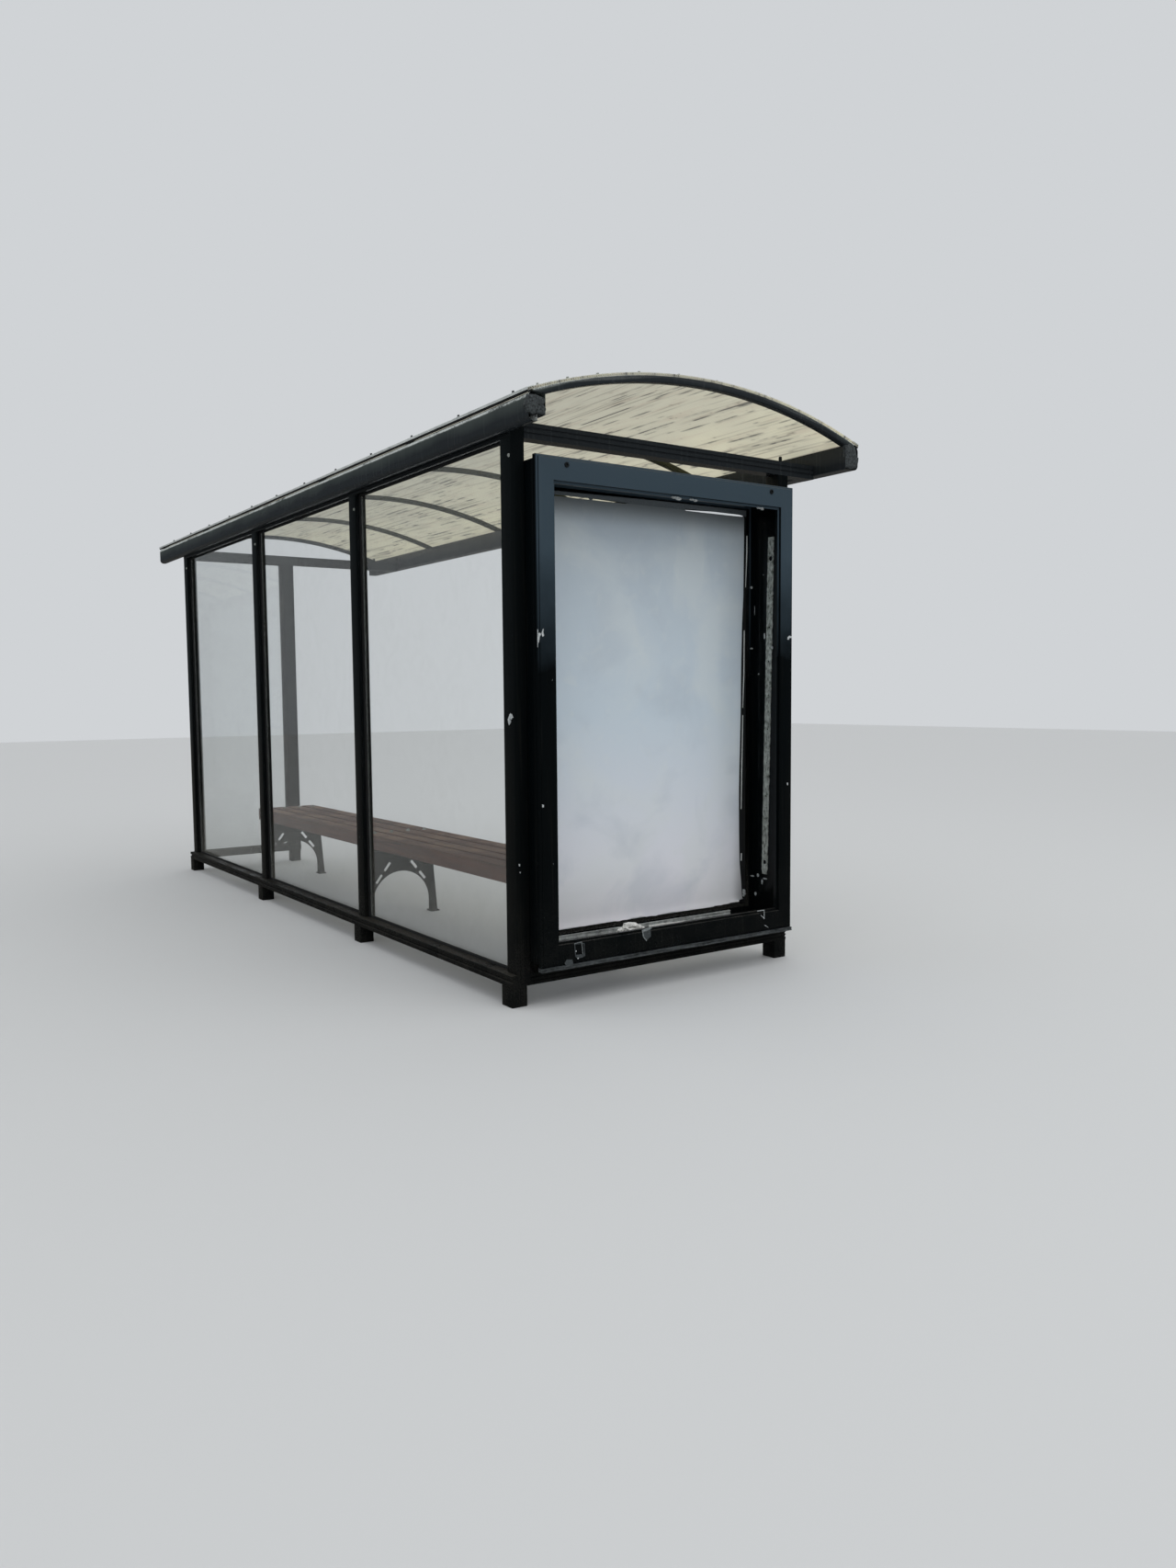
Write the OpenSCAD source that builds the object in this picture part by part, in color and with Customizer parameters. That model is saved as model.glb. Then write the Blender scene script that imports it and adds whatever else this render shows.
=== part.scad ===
// Bus shelter: black box-section frame, glazed back and half side, barrel roof, light box and bench.
// Millimetres, +Z up, the open road side faces -Y and the light box end faces -X.
// Lengths run from the outer face of the first rear post, depths from the back face of the posts.

/* [Frame] */
// Length over the outer faces of the end rear posts
frame_length = 4430; // [4200:10:5000]
// Depth over the back and front posts
frame_depth = 1440; // [1400:10:1600]
// Post width along the back wall
post_w = 80; // [60:1:100]
// Post thickness across the back wall
post_d = 60; // [50:1:80]
// Underside of the top rail above the ground
post_top = 2175; // [2150:5:2400]
// Height of the feet below the bottom rails
foot_h = 80; // [40:1:120]
// Depth of each foot
foot_d = 70; // [60:1:80]
// Height of the bottom rails
rail_h = 46; // [40:1:60]
// How far the back bottom rail stands out past the posts
rail_step = 26; // [16:1:34]
// Height of the shadow groove in the back bottom rail
groove_h = 10; // [6:1:14]
// Depth of the shadow groove in the back bottom rail
groove_d = 8; // [4:1:12]
// Height of the top rail over the back wall
top_rail_h = 40; // [30:1:60]
// Width and height of the cross ties at both ends
tie_w = 60; // [50:1:70]

/* [Side panel] */
// Back face of the frame to the middle of the post that ends the side glass
side_post_y = 730; // [600:10:900]
// Width of that post along the side glass
side_post_w = 80; // [60:1:100]
// Thickness of that post and its rail
side_post_t = 60; // [50:1:80]

/* [Roof] */
// Roof past the first rear post
over_near = 190; // [120:5:300]
// Roof past the last rear post
over_far = 470; // [300:5:600]
// Roof past the back face of the posts
over_rear = 38; // [36:1:60]
// Roof past the front post
over_front = 240; // [150:5:350]
// Height of the eaves beams
beam_h = 103; // [90:1:120]
// Width of the eaves beams
beam_w = 80; // [70:1:90]
// Part of the back eaves beam that sits on the top rail
beam_seat = 35; // [25:1:45]
// How far the back eaves beam hangs down outside the top rail
fascia_drop = 24; // [10:1:30]
// Rounding of the beams' outer corners
beam_round = 22; // [6:1:28]
// Rise of the roof arc between its two edges
arch_rise = 155; // [120:5:260]
// Height of the arch bars
arch_h = 25; // [20:1:40]
// Width of the inner arch bars
arch_w = 30; // [20:1:50]
// Width of the two end arches
end_arch_w = 36; // [25:1:80]
// Distance from the roof edge to the ends of the arch bars
arch_inset = 22; // [12:1:28]
// Thickness of the roof sheet
sheet_t = 10; // [4:1:16]
// Width of the strips that hold down the long edges of the sheet
edge_strip_w = 30; // [20:1:40]
// Thickness of those strips
edge_strip_t = 3; // [2:1:5]

/* [Glass] */
// Thickness of the wall glass
glass_t = 8; // [6:1:12]
// Width of the channels that hold the upright glass edges
channel_w = 18; // [14:1:24]
// Depth of those channels
channel_d = 22; // [18:1:30]
// Depth of the slot in a channel
channel_slot = 12; // [8:1:12]

/* [Light box] */
// How far the case stands out past the near posts
case_front = 64; // [40:1:80]
// Depth of the case behind the outer face of the near posts
case_back = 150; // [120:1:200]
// Height of the underside of the case
case_z = 172; // [150:1:200]
// Height of the case
case_h = 1920; // [1800:5:1960]
// Wall thickness of the case
case_wall = 25; // [15:1:30]
// Thickness of the outer frame
door_t = 28; // [20:1:40]
// How far the outer frame reaches past the case at each side
door_lap = 5; // [2:1:10]
// How far the outer frame reaches past the case at the bottom and the top
door_lap_z = 12; // [5:1:14]
// Width of the upright members of the outer frame
door_side_w = 86; // [60:1:110]
// Height of its top member
door_top_h = 101; // [70:1:120]
// Height of its bottom member
door_bottom_h = 93; // [70:1:120]
// Thickness of the inner frame
inner_t = 22; // [15:1:30]
// Width of the upright members of the inner frame
inner_side_w = 60; // [50:1:80]
// Height of its top and bottom members
inner_end_h = 75; // [60:1:90]
// Thickness of the clear pane
pane_t = 6; // [4:1:8]
// How far the pane runs in behind the inner frame
pane_lap = 20; // [10:1:30]
// Thickness of the poster
poster_t = 1.5; // [1:0.5:3]
// Gap between the poster's upright edges and the inner frame
poster_gap = 7.5; // [2.5:0.5:20]
// Gap between the poster's top and the inner frame
poster_drop = 17; // [5:1:40]
// Gap between the poster's foot and the inner frame
poster_rise = 3; // [1:1:20]
// Depth of the ledge below the poster
ledge_d = 22; // [12:1:30]
// Height of the ledge
ledge_h = 28; // [15:1:40]
// Width of the perforated strip on the front side wall of the case
strip_w = 41; // [30:1:60]
// Thickness of the perforated strip
strip_t = 3; // [2:1:5]
// Length of the perforated strip
strip_len = 1440; // [1200:10:1500]
// Distance from the outer face of the near posts to the perforated strip
strip_x = 12; // [0:1:60]
// Height of the lower end of the perforated strip
strip_z = 420; // [300:10:500]
// Diameter of the locks in the outer frame's top member
lock_d = 20; // [14:1:30]
// How far a lock stands out
lock_out = 4; // [2:1:8]
// Distance of a lock's middle from the outer upright edge of the frame
lock_inset = 135; // [110:5:200]
// Distance of a lock's middle from the top edge of the frame
lock_drop = 30; // [20:1:45]

/* [Bench] */
// Length of the seat
bench_len = 3600; // [2600:10:3700]
// Distance from the outer face of the first rear post to the near end of the seat
bench_x = 200; // [190:5:300]
// Distance from the back face of the posts to the seat
bench_y = 270; // [200:5:320]
// Height of the seat
seat_h = 465; // [420:5:500]
// Number of seat beams
beam_count = 4; // [3:1:4]
// Width of a seat beam
seat_beam_w = 80; // [60:1:90]
// Thickness of a seat beam
seat_beam_t = 75; // [40:1:80]
// Gap between two seat beams
seat_gap = 20; // [5:1:25]
// Seat end to the middle of the end leg
leg_inset = 110; // [60:5:300]
// Thickness of the leg plates
leg_t = 8; // [6:1:12]
// Width of the flanges above and below a leg plate
flange_w = 60; // [40:1:80]
// How far a leg spreads past the seat at each foot
leg_spread = 30; // [10:1:40]
// Radius of the arch cut into a leg
leg_arch_r = 170; // [120:1:175]
// Height of the middle of that arch
leg_arch_z = 75; // [40:1:90]
// Width of the slits beside the arch
slit_w = 16; // [8:1:18]
// Length of the slits
slit_len = 55; // [30:1:60]
// Slope of the slits
slit_angle = 52; // [48:1:56]
// Spacing of the two slits in a pair along their slope
slit_pitch = 82; // [70:1:90]
// Plate left between the arch and the slits
slit_web = 8; // [5:1:12]
// How far a pair of slits lies up its slope from where the slope comes closest to the arch
slit_shift = 67; // [50:1:75]

/* [Hidden] */

// Clearance between the curved roof sheet and what it lies on
skin_gap = 0.3;
// Overrun of a cutting solid past the face it cuts
over = 1;
// Facets of the roof arc, the leg arches and small round shapes
arc_fn = 720;
arch_fn = 96;
round_fn = 48;

// Bays of the back wall and spacing of its posts
bays = 3;
bay_pitch = (frame_length - post_w) / bays;
// Spaces between the arches
arch_spaces = 5;

// Heights
rail_top = foot_h + rail_h;
top_rail_z = post_top + top_rail_h;
beam_z = top_rail_z - fascia_drop;
beam_top = beam_z + beam_h;

// Depths, negative towards the road
front_y = -frame_depth;
roof_front = front_y - over_front;
front_beam_inner = roof_front + beam_w;
side_glass_end = -side_post_y + side_post_w / 2;

// Roof arc through both top edges, with its middle over the middle of the roof
roof_x0 = -over_near;
roof_x1 = frame_length + over_far;
roof_width = over_rear - roof_front;
arc_r = (pow(roof_width / 2, 2) + pow(arch_rise, 2)) / (2 * arch_rise);
arc_y = (over_rear + roof_front) / 2;
arc_z = beam_top + arch_rise - arc_r;
arch_pitch = (roof_x1 - roof_x0 - arch_w) / arch_spaces;

// Light box between the near posts
case_x0 = -case_front;
case_y0 = -post_d;
case_y1 = front_y + post_d;
case_top_z = case_z + case_h;
door_x0 = case_x0 - door_t;
door_y0 = case_y0 + door_lap;
door_y1 = case_y1 - door_lap;
door_z0 = case_z - door_lap_z;
door_z1 = case_top_z + door_lap_z;
inner_y0 = case_y0 - inner_side_w;
inner_y1 = case_y1 + inner_side_w;
inner_z0 = case_z + inner_end_h;
inner_z1 = case_top_z - inner_end_h;
pane_x0 = case_back - pane_t;
poster_x0 = pane_x0 - poster_t;

// Bench
seat_depth = beam_count * seat_beam_w + (beam_count - 1) * seat_gap;
seat_mid_y = -bench_y - seat_depth / 2;
leg_top = seat_h - seat_beam_t;
leg_pitch = (bench_len - 2 * leg_inset) / 2;

// Origin below the middle of the roof outline
mid_x = (roof_x0 + roof_x1) / 2;
mid_y = arc_y;

frame_color = [0.08, 0.09, 0.10];
glass_color = [0.75, 0.82, 0.84, 0.35];
roof_color = [0.74, 0.72, 0.62, 0.8];
trim_color = [0.45, 0.46, 0.46];
seal_color = [0.10, 0.11, 0.11];
paper_color = [0.70, 0.71, 0.77];
zinc_color = [0.60, 0.62, 0.63];
wood_color = [0.36, 0.22, 0.15];

// Moves a piece from the post corner to the origin below the roof's middle
module placed() {
    translate([-mid_x, -mid_y, 0])
        children();
}

// Box between two opposite corners
module box(low, high) {
    translate(low)
        cube(high - low);
}

// Bar along X of the outline drawn in depth and height
module along_x(x0, x1) {
    translate([x0, 0, 0])
        rotate([90, 0, 90])
            linear_extrude(x1 - x0)
                children();
}

module rear_post(i) {
    x0 = i * bay_pitch;
    color(frame_color) placed()
        box([x0, -post_d, rail_top], [x0 + post_w, 0, post_top]);
}

module near_front_post() {
    color(frame_color) placed()
        box([0, front_y, rail_top], [post_w, front_y + post_d, post_top]);
}

module far_side_post() {
    color(frame_color) placed()
        box([frame_length - side_post_t, side_glass_end - side_post_w, rail_top],
            [frame_length, side_glass_end, post_top]);
}

// A foot below each rear post, the near front post and the side post
module feet() {
    color(frame_color) placed() {
        for (i = [0 : bays])
            box([i * bay_pitch, rail_step - foot_d, 0], [i * bay_pitch + post_w, rail_step, foot_h]);
        box([0, front_y, 0], [post_w, front_y + foot_d, foot_h]);
        box([frame_length - side_post_t, -side_post_y - foot_d / 2, 0],
            [frame_length, -side_post_y + foot_d / 2, foot_h]);
    }
}

// Back rail, stepped out past the posts and grooved along its outer face
module rear_bottom_rail() {
    groove_z = foot_h + (rail_h - groove_h) / 2;
    color(frame_color) placed()
        along_x(0, frame_length)
            difference() {
                translate([-post_d, foot_h]) square([post_d + rail_step, rail_h]);
                translate([rail_step - groove_d, groove_z]) square([groove_d + over, groove_h]);
            }
}

module near_bottom_rail() {
    color(frame_color) placed()
        box([0, front_y, foot_h], [post_w, -post_d, rail_top]);
}

module far_bottom_rail() {
    color(frame_color) placed()
        box([frame_length - side_post_t, side_glass_end - side_post_w, foot_h],
            [frame_length, -post_d, rail_top]);
}

module rear_top_rail() {
    color(frame_color) placed()
        box([0, -post_d, post_top], [frame_length, 0, top_rail_z]);
}

// Tie from the top rail over the end post to the front eaves beam
module tie_beam(x0) {
    color(frame_color) placed()
        box([x0, front_beam_inner, post_top], [x0 + tie_w, -post_d, post_top + tie_w]);
}

// Outline of an eaves beam with two rounded outer corners, outer face at zero depth
module beam_outline(w, h) {
    translate([-w, 0]) square([w - beam_round, h]);
    translate([-beam_round, beam_round]) square([beam_round, h - 2 * beam_round]);
    translate([-beam_round, beam_round]) circle(beam_round, $fn = round_fn);
    translate([-beam_round, h - beam_round]) circle(beam_round, $fn = round_fn);
}

// Back beam, seated on the top rail and hanging a little way down outside it
module rear_eaves_beam() {
    color(frame_color) placed()
        along_x(roof_x0, roof_x1)
            difference() {
                translate([over_rear, beam_z]) beam_outline(over_rear + beam_seat, beam_h);
                translate([-beam_seat - over, beam_z - over]) square([beam_seat + over, fascia_drop + over]);
            }
}

module front_eaves_beam() {
    color(frame_color) placed()
        along_x(roof_x0, roof_x1)
            translate([roof_front, beam_z]) mirror([1, 0]) beam_outline(beam_w, beam_h);
}

// Outline of a strip that follows the roof arc between two depths, above a height
module arc_outline(r_in, r_out, y0, y1, z0) {
    intersection() {
        translate([arc_y, arc_z])
            difference() {
                circle(r_out, $fn = arc_fn);
                circle(r_in, $fn = arc_fn);
            }
        translate([y0, z0]) square([y1 - y0, beam_top + 2 * arch_rise - z0]);
    }
}

// Arch bar with both ends cut level to stand on the eaves beams
module roof_arch(x0, w) {
    color(frame_color) placed()
        along_x(x0, x0 + w)
            arc_outline(arc_r - arch_h, arc_r, roof_front + arch_inset, over_rear - arch_inset, beam_top);
}

module roof_rib(i) {
    roof_arch(roof_x0 + i * arch_pitch, arch_w);
}

module roof_sheet() {
    r = arc_r + skin_gap;
    color(roof_color) placed()
        along_x(roof_x0, roof_x1)
            arc_outline(r, r + sheet_t, roof_front, over_rear, beam_z);
}

// Two strips that hold down the long edges of the sheet
module roof_edge_strips() {
    r = arc_r + 2 * skin_gap + sheet_t;
    color(trim_color) placed()
        along_x(roof_x0, roof_x1) {
            arc_outline(r, r + edge_strip_t, roof_front, roof_front + edge_strip_w, beam_z);
            arc_outline(r, r + edge_strip_t, over_rear - edge_strip_w, over_rear, beam_z);
        }
}

module rear_glass(i) {
    x0 = i * bay_pitch + post_w + channel_w - channel_slot;
    x1 = (i + 1) * bay_pitch - channel_w + channel_slot;
    color(glass_color) placed()
        box([x0, -(post_d + glass_t) / 2, rail_top], [x1, -(post_d - glass_t) / 2, post_top]);
}

module side_glass() {
    x0 = frame_length - (side_post_t + glass_t) / 2;
    color(glass_color) placed()
        box([x0, side_glass_end + channel_w - channel_slot, rail_top],
            [x0 + glass_t, -post_d - channel_w + channel_slot, post_top]);
}

// Upright channel at the origin with its slot open towards +X and the glass mid-plane at zero depth
module glass_channel() {
    difference() {
        box([0, -channel_d / 2, rail_top], [channel_w, channel_d / 2, post_top]);
        box([channel_w - channel_slot, -glass_t / 2, rail_top - over],
            [channel_w + over, glass_t / 2, post_top + over]);
    }
}

// Black plastic channels on both sides of each back pane and of the side pane
module glass_channels() {
    glass_y = -post_d / 2;
    glass_x = frame_length - side_post_t / 2;
    color(seal_color) placed() {
        for (i = [0 : bays - 1]) {
            translate([i * bay_pitch + post_w, glass_y, 0]) glass_channel();
            translate([(i + 1) * bay_pitch, glass_y, 0]) mirror([1, 0, 0]) glass_channel();
        }
        translate([glass_x, -post_d, 0]) rotate(-90) glass_channel();
        translate([glass_x, side_glass_end, 0]) rotate(90) glass_channel();
    }
}

// Side wall of the light box case, from the given depth towards the road
module case_side(y) {
    color(frame_color) placed()
        box([case_x0, y - case_wall, case_z], [case_back, y, case_top_z]);
}

module case_rear_wall() {
    case_side(case_y0);
}

module case_front_wall() {
    case_side(case_y1 + case_wall);
}

// Level wall of the case between its side walls
module case_level(z) {
    color(frame_color) placed()
        box([case_x0, case_y1 + case_wall, z], [case_back, case_y0 - case_wall, z + case_wall]);
}

module case_top() {
    case_level(case_top_z - case_wall);
}

module case_bottom() {
    case_level(case_z);
}

// Upright member of the outer frame over its full height
module outer_upright(y) {
    color(frame_color) placed()
        box([door_x0, y - door_side_w, door_z0], [case_x0, y, door_z1]);
}

module outer_frame_rear() {
    outer_upright(door_y0);
}

module outer_frame_front() {
    outer_upright(door_y1 + door_side_w);
}

// Level member of the outer frame between its uprights
module outer_level(z, h) {
    color(frame_color) placed()
        box([door_x0, door_y1 + door_side_w, z], [case_x0, door_y0 - door_side_w, z + h]);
}

module outer_frame_top() {
    outer_level(door_z1 - door_top_h, door_top_h);
}

module outer_frame_bottom() {
    outer_level(door_z0, door_bottom_h);
}

// One welded frame that closes the case on the side of the seats
module inner_frame() {
    color(frame_color) placed()
        difference() {
            box([case_back, case_y1, case_z], [case_back + inner_t, case_y0, case_top_z]);
            box([case_back - over, inner_y1, inner_z0], [case_back + inner_t + over, inner_y0, inner_z1]);
        }
}

module clear_pane() {
    color(glass_color) placed()
        box([pane_x0, inner_y1 - pane_lap, inner_z0 - pane_lap],
            [case_back, inner_y0 + pane_lap, inner_z1 + pane_lap]);
}

module poster_sheet() {
    color(paper_color) placed()
        box([poster_x0, inner_y1 + poster_gap, inner_z0 + poster_rise],
            [pane_x0, inner_y0 - poster_gap, inner_z1 - poster_drop]);
}

// Ledge on the floor of the case, in front of the foot of the poster
module poster_ledge() {
    z0 = case_z + case_wall;
    color(zinc_color) placed()
        box([poster_x0 - ledge_d, case_y1 + case_wall, z0], [poster_x0, case_y0 - case_wall, z0 + ledge_h]);
}

// Flat strip up the inside of the front side wall
module perforated_strip() {
    y0 = case_y1 + case_wall;
    color(zinc_color) placed()
        box([strip_x, y0, strip_z], [strip_x + strip_w, y0 + strip_t, strip_z + strip_len]);
}

// Round locks on the top member of the outer frame
module frame_locks() {
    color(zinc_color) placed()
        for (y = [door_y0 - lock_inset, door_y1 + lock_inset])
            translate([door_x0 - lock_out, y, door_z1 - lock_drop])
                rotate([0, 90, 0])
                    cylinder(h = lock_out, d = lock_d, $fn = round_fn);
}

module bench_seat() {
    color(wood_color) placed()
        for (i = [0 : beam_count - 1]) {
            y1 = -bench_y - i * (seat_beam_w + seat_gap);
            box([bench_x, y1 - seat_beam_w, leg_top], [bench_x + bench_len, y1, seat_h]);
        }
}

// Outline of a leg plate about its own middle, with the arch and two slits on either side of it
module leg_outline() {
    foot_half = seat_depth / 2 + leg_spread;
    slit_line = leg_arch_r + slit_web + slit_w / 2;
    difference() {
        polygon([[-foot_half, leg_t], [foot_half, leg_t],
                 [seat_depth / 2, leg_top - leg_t], [-seat_depth / 2, leg_top - leg_t]]);
        translate([0, leg_arch_z]) circle(leg_arch_r, $fn = arch_fn);
        translate([-leg_arch_r, 0]) square([2 * leg_arch_r, leg_arch_z]);
        for (side = [-1, 1], step = [-0.5, 0.5])
            scale([side, 1])
                translate([0, leg_arch_z])
                    rotate(90 - slit_angle)
                        translate([slit_line, slit_shift + step * slit_pitch])
                            square([slit_w, slit_len], center = true);
    }
}

// Leg with its plate, a flange below the seat and a flange at each foot
module bench_leg(i) {
    x = bench_x + leg_inset + i * leg_pitch;
    foot_half = seat_depth / 2 + leg_spread;
    color(frame_color) placed()
        translate([x, seat_mid_y, 0]) {
            along_x(-leg_t / 2, leg_t / 2) leg_outline();
            box([-flange_w / 2, -seat_depth / 2, leg_top - leg_t], [flange_w / 2, seat_depth / 2, leg_top]);
            box([-flange_w / 2, -foot_half, 0], [flange_w / 2, -leg_arch_r, leg_t]);
            box([-flange_w / 2, leg_arch_r, 0], [flange_w / 2, foot_half, leg_t]);
        }
}

rear_post(0);  // rear_post_1
rear_post(1);  // rear_post_2
rear_post(2);  // rear_post_3
rear_post(3);  // rear_post_4
near_front_post();
far_side_post();
feet();
rear_bottom_rail();
near_bottom_rail();
far_bottom_rail();
rear_top_rail();
tie_beam(0);  // near_tie_beam
tie_beam(frame_length - tie_w);  // far_tie_beam
rear_eaves_beam();
front_eaves_beam();
roof_arch(roof_x0, end_arch_w);  // near_end_arch
roof_rib(1);  // roof_rib_1
roof_rib(2);  // roof_rib_2
roof_rib(3);  // roof_rib_3
roof_rib(4);  // roof_rib_4
roof_arch(roof_x1 - end_arch_w, end_arch_w);  // far_end_arch
roof_sheet();
roof_edge_strips();
rear_glass(0);  // rear_glass_1
rear_glass(1);  // rear_glass_2
rear_glass(2);  // rear_glass_3
side_glass();
glass_channels();
case_rear_wall();
case_front_wall();
case_top();
case_bottom();
outer_frame_rear();
outer_frame_front();
outer_frame_top();
outer_frame_bottom();
inner_frame();
clear_pane();
poster_sheet();
poster_ledge();
perforated_strip();
frame_locks();
bench_seat();
bench_leg(0);  // bench_leg_1
bench_leg(1);  // bench_leg_2
bench_leg(2);  // bench_leg_3
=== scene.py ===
import math
import random
from functools import partial
import bmesh
import bpy
from mathutils import Matrix, Vector, noise


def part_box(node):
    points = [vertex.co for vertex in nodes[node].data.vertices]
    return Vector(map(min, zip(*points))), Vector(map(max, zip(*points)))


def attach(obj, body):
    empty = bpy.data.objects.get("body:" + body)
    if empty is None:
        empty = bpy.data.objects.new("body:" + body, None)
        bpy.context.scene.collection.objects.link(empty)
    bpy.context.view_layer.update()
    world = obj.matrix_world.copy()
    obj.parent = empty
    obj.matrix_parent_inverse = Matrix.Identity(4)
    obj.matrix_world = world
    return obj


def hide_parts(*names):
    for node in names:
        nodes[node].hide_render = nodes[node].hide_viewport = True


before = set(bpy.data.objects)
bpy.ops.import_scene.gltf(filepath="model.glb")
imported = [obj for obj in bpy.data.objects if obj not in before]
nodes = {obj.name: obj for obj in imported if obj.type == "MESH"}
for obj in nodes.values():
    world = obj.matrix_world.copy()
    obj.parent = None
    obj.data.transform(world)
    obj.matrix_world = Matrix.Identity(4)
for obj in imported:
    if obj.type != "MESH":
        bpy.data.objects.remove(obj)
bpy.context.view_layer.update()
scene = bpy.context.scene


def hexColor(code):
    # sRGB hex to linear
    parts = [int(code[i:i + 2], 16) / 255 for i in (0, 2, 4)]
    return [p / 12.92 if p <= 0.04045 else ((p + 0.055) / 1.055) ** 2.4 for p in parts] + [1]


def feed(tree, node, inputs):
    # inputs by socket name, or in the order of the sockets in use; each is a value, a hex colour,
    # a socket, a node whose first output in use is meant, or a list of sockets and nodes
    if isinstance(inputs, dict):
        pairs = [(node.inputs[name], value) for name, value in inputs.items()]
    else:
        pairs = zip([socket for socket in node.inputs if socket.enabled], inputs)
    for socket, value in pairs:
        for part in value if isinstance(value, list) else [value]:
            if isinstance(part, bpy.types.Node):
                part = next(output for output in part.outputs if output.enabled)
            if isinstance(part, bpy.types.NodeSocket):
                tree.links.new(part, socket)
            else:
                isColor = socket.type == "RGBA" and isinstance(part, str)
                socket.default_value = hexColor(part) if isColor else part


def addNode(tree, kind, inputs=(), **settings):
    # a shader node's kind is given without its first part
    node = tree.nodes.new(kind if "Node" in kind else "ShaderNode" + kind)
    for name, value in settings.items():
        setattr(node, name, value)
    feed(tree, node, inputs)
    return node


def newMaterial(name):
    # gives the material, what adds a node to it, and Object coordinates
    material = bpy.data.materials.new(name)
    material.use_nodes = True
    add = partial(addNode, material.node_tree)
    return material, add, add("TexCoord").outputs["Object"]


def dress(material, inputs):
    # feeds the Principled surface
    feed(material.node_tree, material.node_tree.nodes["Principled BSDF"], inputs)
    return material


def letThrough(material, add, share, color):
    # this share of the light goes through, in this colour
    kept = material.node_tree.nodes
    both = add("MixShader", (share, kept["Principled BSDF"], add("BsdfTranslucent", {"Color": color})))
    feed(material.node_tree, kept["Material Output"], {"Surface": both})


def cleanCopy(node):
    # a node's mesh is loose triangles, joined here into whole faces
    bm = bmesh.new()
    bm.from_mesh(nodes[node].data)
    bmesh.ops.remove_doubles(bm, verts=bm.verts, dist=1e-5)
    bmesh.ops.dissolve_limit(bm, angle_limit=math.radians(0.1), verts=bm.verts, edges=bm.edges)
    return bm


def softenEdges(bm, width, axis=None, segments=3, least=0.5):
    # rounds edges sharper than least, all of them or only those along one axis
    chosen = []
    for edge in bm.edges:
        if len(edge.link_faces) == 2 and edge.calc_face_angle() > least:
            along = (edge.verts[1].co - edge.verts[0].co).normalized()
            if axis is None or abs(along[axis]) > 0.99:
                chosen.append(edge)
    bmesh.ops.bevel(bm, geom=chosen, offset=width, segments=segments, profile=0.5,
                    affect="EDGES", clamp_overlap=True)


def addRings(bm, rings, closed=True):
    # faces between rings of equally many points, the last joined to the first when closed
    made = [[bm.verts.new(p) for p in ring] for ring in rings]
    for first, second in list(zip(made, made[1:])) + ([(made[-1], made[0])] if closed else []):
        for i in range(len(first)):
            j = (i + 1) % len(first)
            bm.faces.new((first[i], first[j], second[j], second[i]))
    return made


def addBar(bm, outline, start, end, axis, steps=1):
    # solid bar along an axis, its outline drawn in the two other axes
    rings = []
    for step in range(steps + 1):
        at = start + (end - start) * step / steps
        rings.append([(a, b)[:axis] + (at,) + (a, b)[axis:] for a, b in outline])
    made = addRings(bm, rings, closed=False)
    bm.faces.new(made[0][::-1])
    bm.faces.new(made[-1])
    return made


def finishPiece(name, shape, material, slot, *standsFor, smooth=35):
    # shape: a bmesh, or a finished mesh that already has its material
    mesh = shape
    if isinstance(shape, bmesh.types.BMesh):
        bmesh.ops.recalc_face_normals(shape, faces=shape.faces)
        mesh = bpy.data.meshes.new(name)
        shape.to_mesh(mesh)
        shape.free()
        mesh.materials.append(material)
    mesh.name = name
    mesh.shade_smooth()
    mesh.set_sharp_from_angle(angle=math.radians(smooth))
    piece = bpy.data.objects.new(name, mesh)
    scene.collection.objects.link(piece)
    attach(piece, "root")
    if standsFor:
        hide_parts(*standsFor)
    return piece


def pieceName(node, word):
    first, *rest = node.split("_")
    return first + "".join(part.capitalize() for part in rest) + word


def softenNode(node, word, width, material, slot, axis=None, segments=3):
    # a piece with the node's own shape and softened edges
    bm = cleanCopy(node)
    softenEdges(bm, width, axis, segments)
    finishPiece(pieceName(node, word), bm, material, slot, node)


def startTree(name, inputs):
    # an empty geometry tree with one named input for each size
    tree = bpy.data.node_groups.new(name, "GeometryNodeTree")
    tree.interface.new_socket("Geometry", in_out="INPUT", socket_type="NodeSocketGeometry")
    for label, value in inputs.items():
        kind = "NodeSocketInt" if isinstance(value, int) else "NodeSocketFloat"
        tree.interface.new_socket(label, in_out="INPUT", socket_type=kind).default_value = value
    tree.interface.new_socket("Geometry", in_out="OUTPUT", socket_type="NodeSocketGeometry")
    add = partial(addNode, tree)
    return tree, add, add("NodeGroupInput").outputs


def endTree(tree, add, geometry, material):
    whole = add("GeometryNodeRealizeInstances", {"Geometry": geometry})
    dressed = add("GeometryNodeSetMaterial", {"Geometry": whole, "Material": material})
    add("NodeGroupOutput", {"Geometry": dressed})
    return tree


def growMesh(tree, sizes, base=None):
    # runs a geometry tree with these sizes and gives its result as a plain mesh
    source = bpy.data.objects.new("growSource", base or bpy.data.meshes.new("growBase"))
    scene.collection.objects.link(source)
    modifier = source.modifiers.new("grow", "NODES")
    modifier.node_group = tree
    for item in tree.interface.items_tree:
        if item.in_out == "INPUT" and item.name in sizes:
            modifier[item.identifier] = sizes[item.name]
    bpy.context.view_layer.update()
    view = bpy.context.evaluated_depsgraph_get()
    mesh = bpy.data.meshes.new_from_object(source.evaluated_get(view))
    source.modifiers.remove(modifier)
    bpy.data.objects.remove(source)
    return mesh


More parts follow.
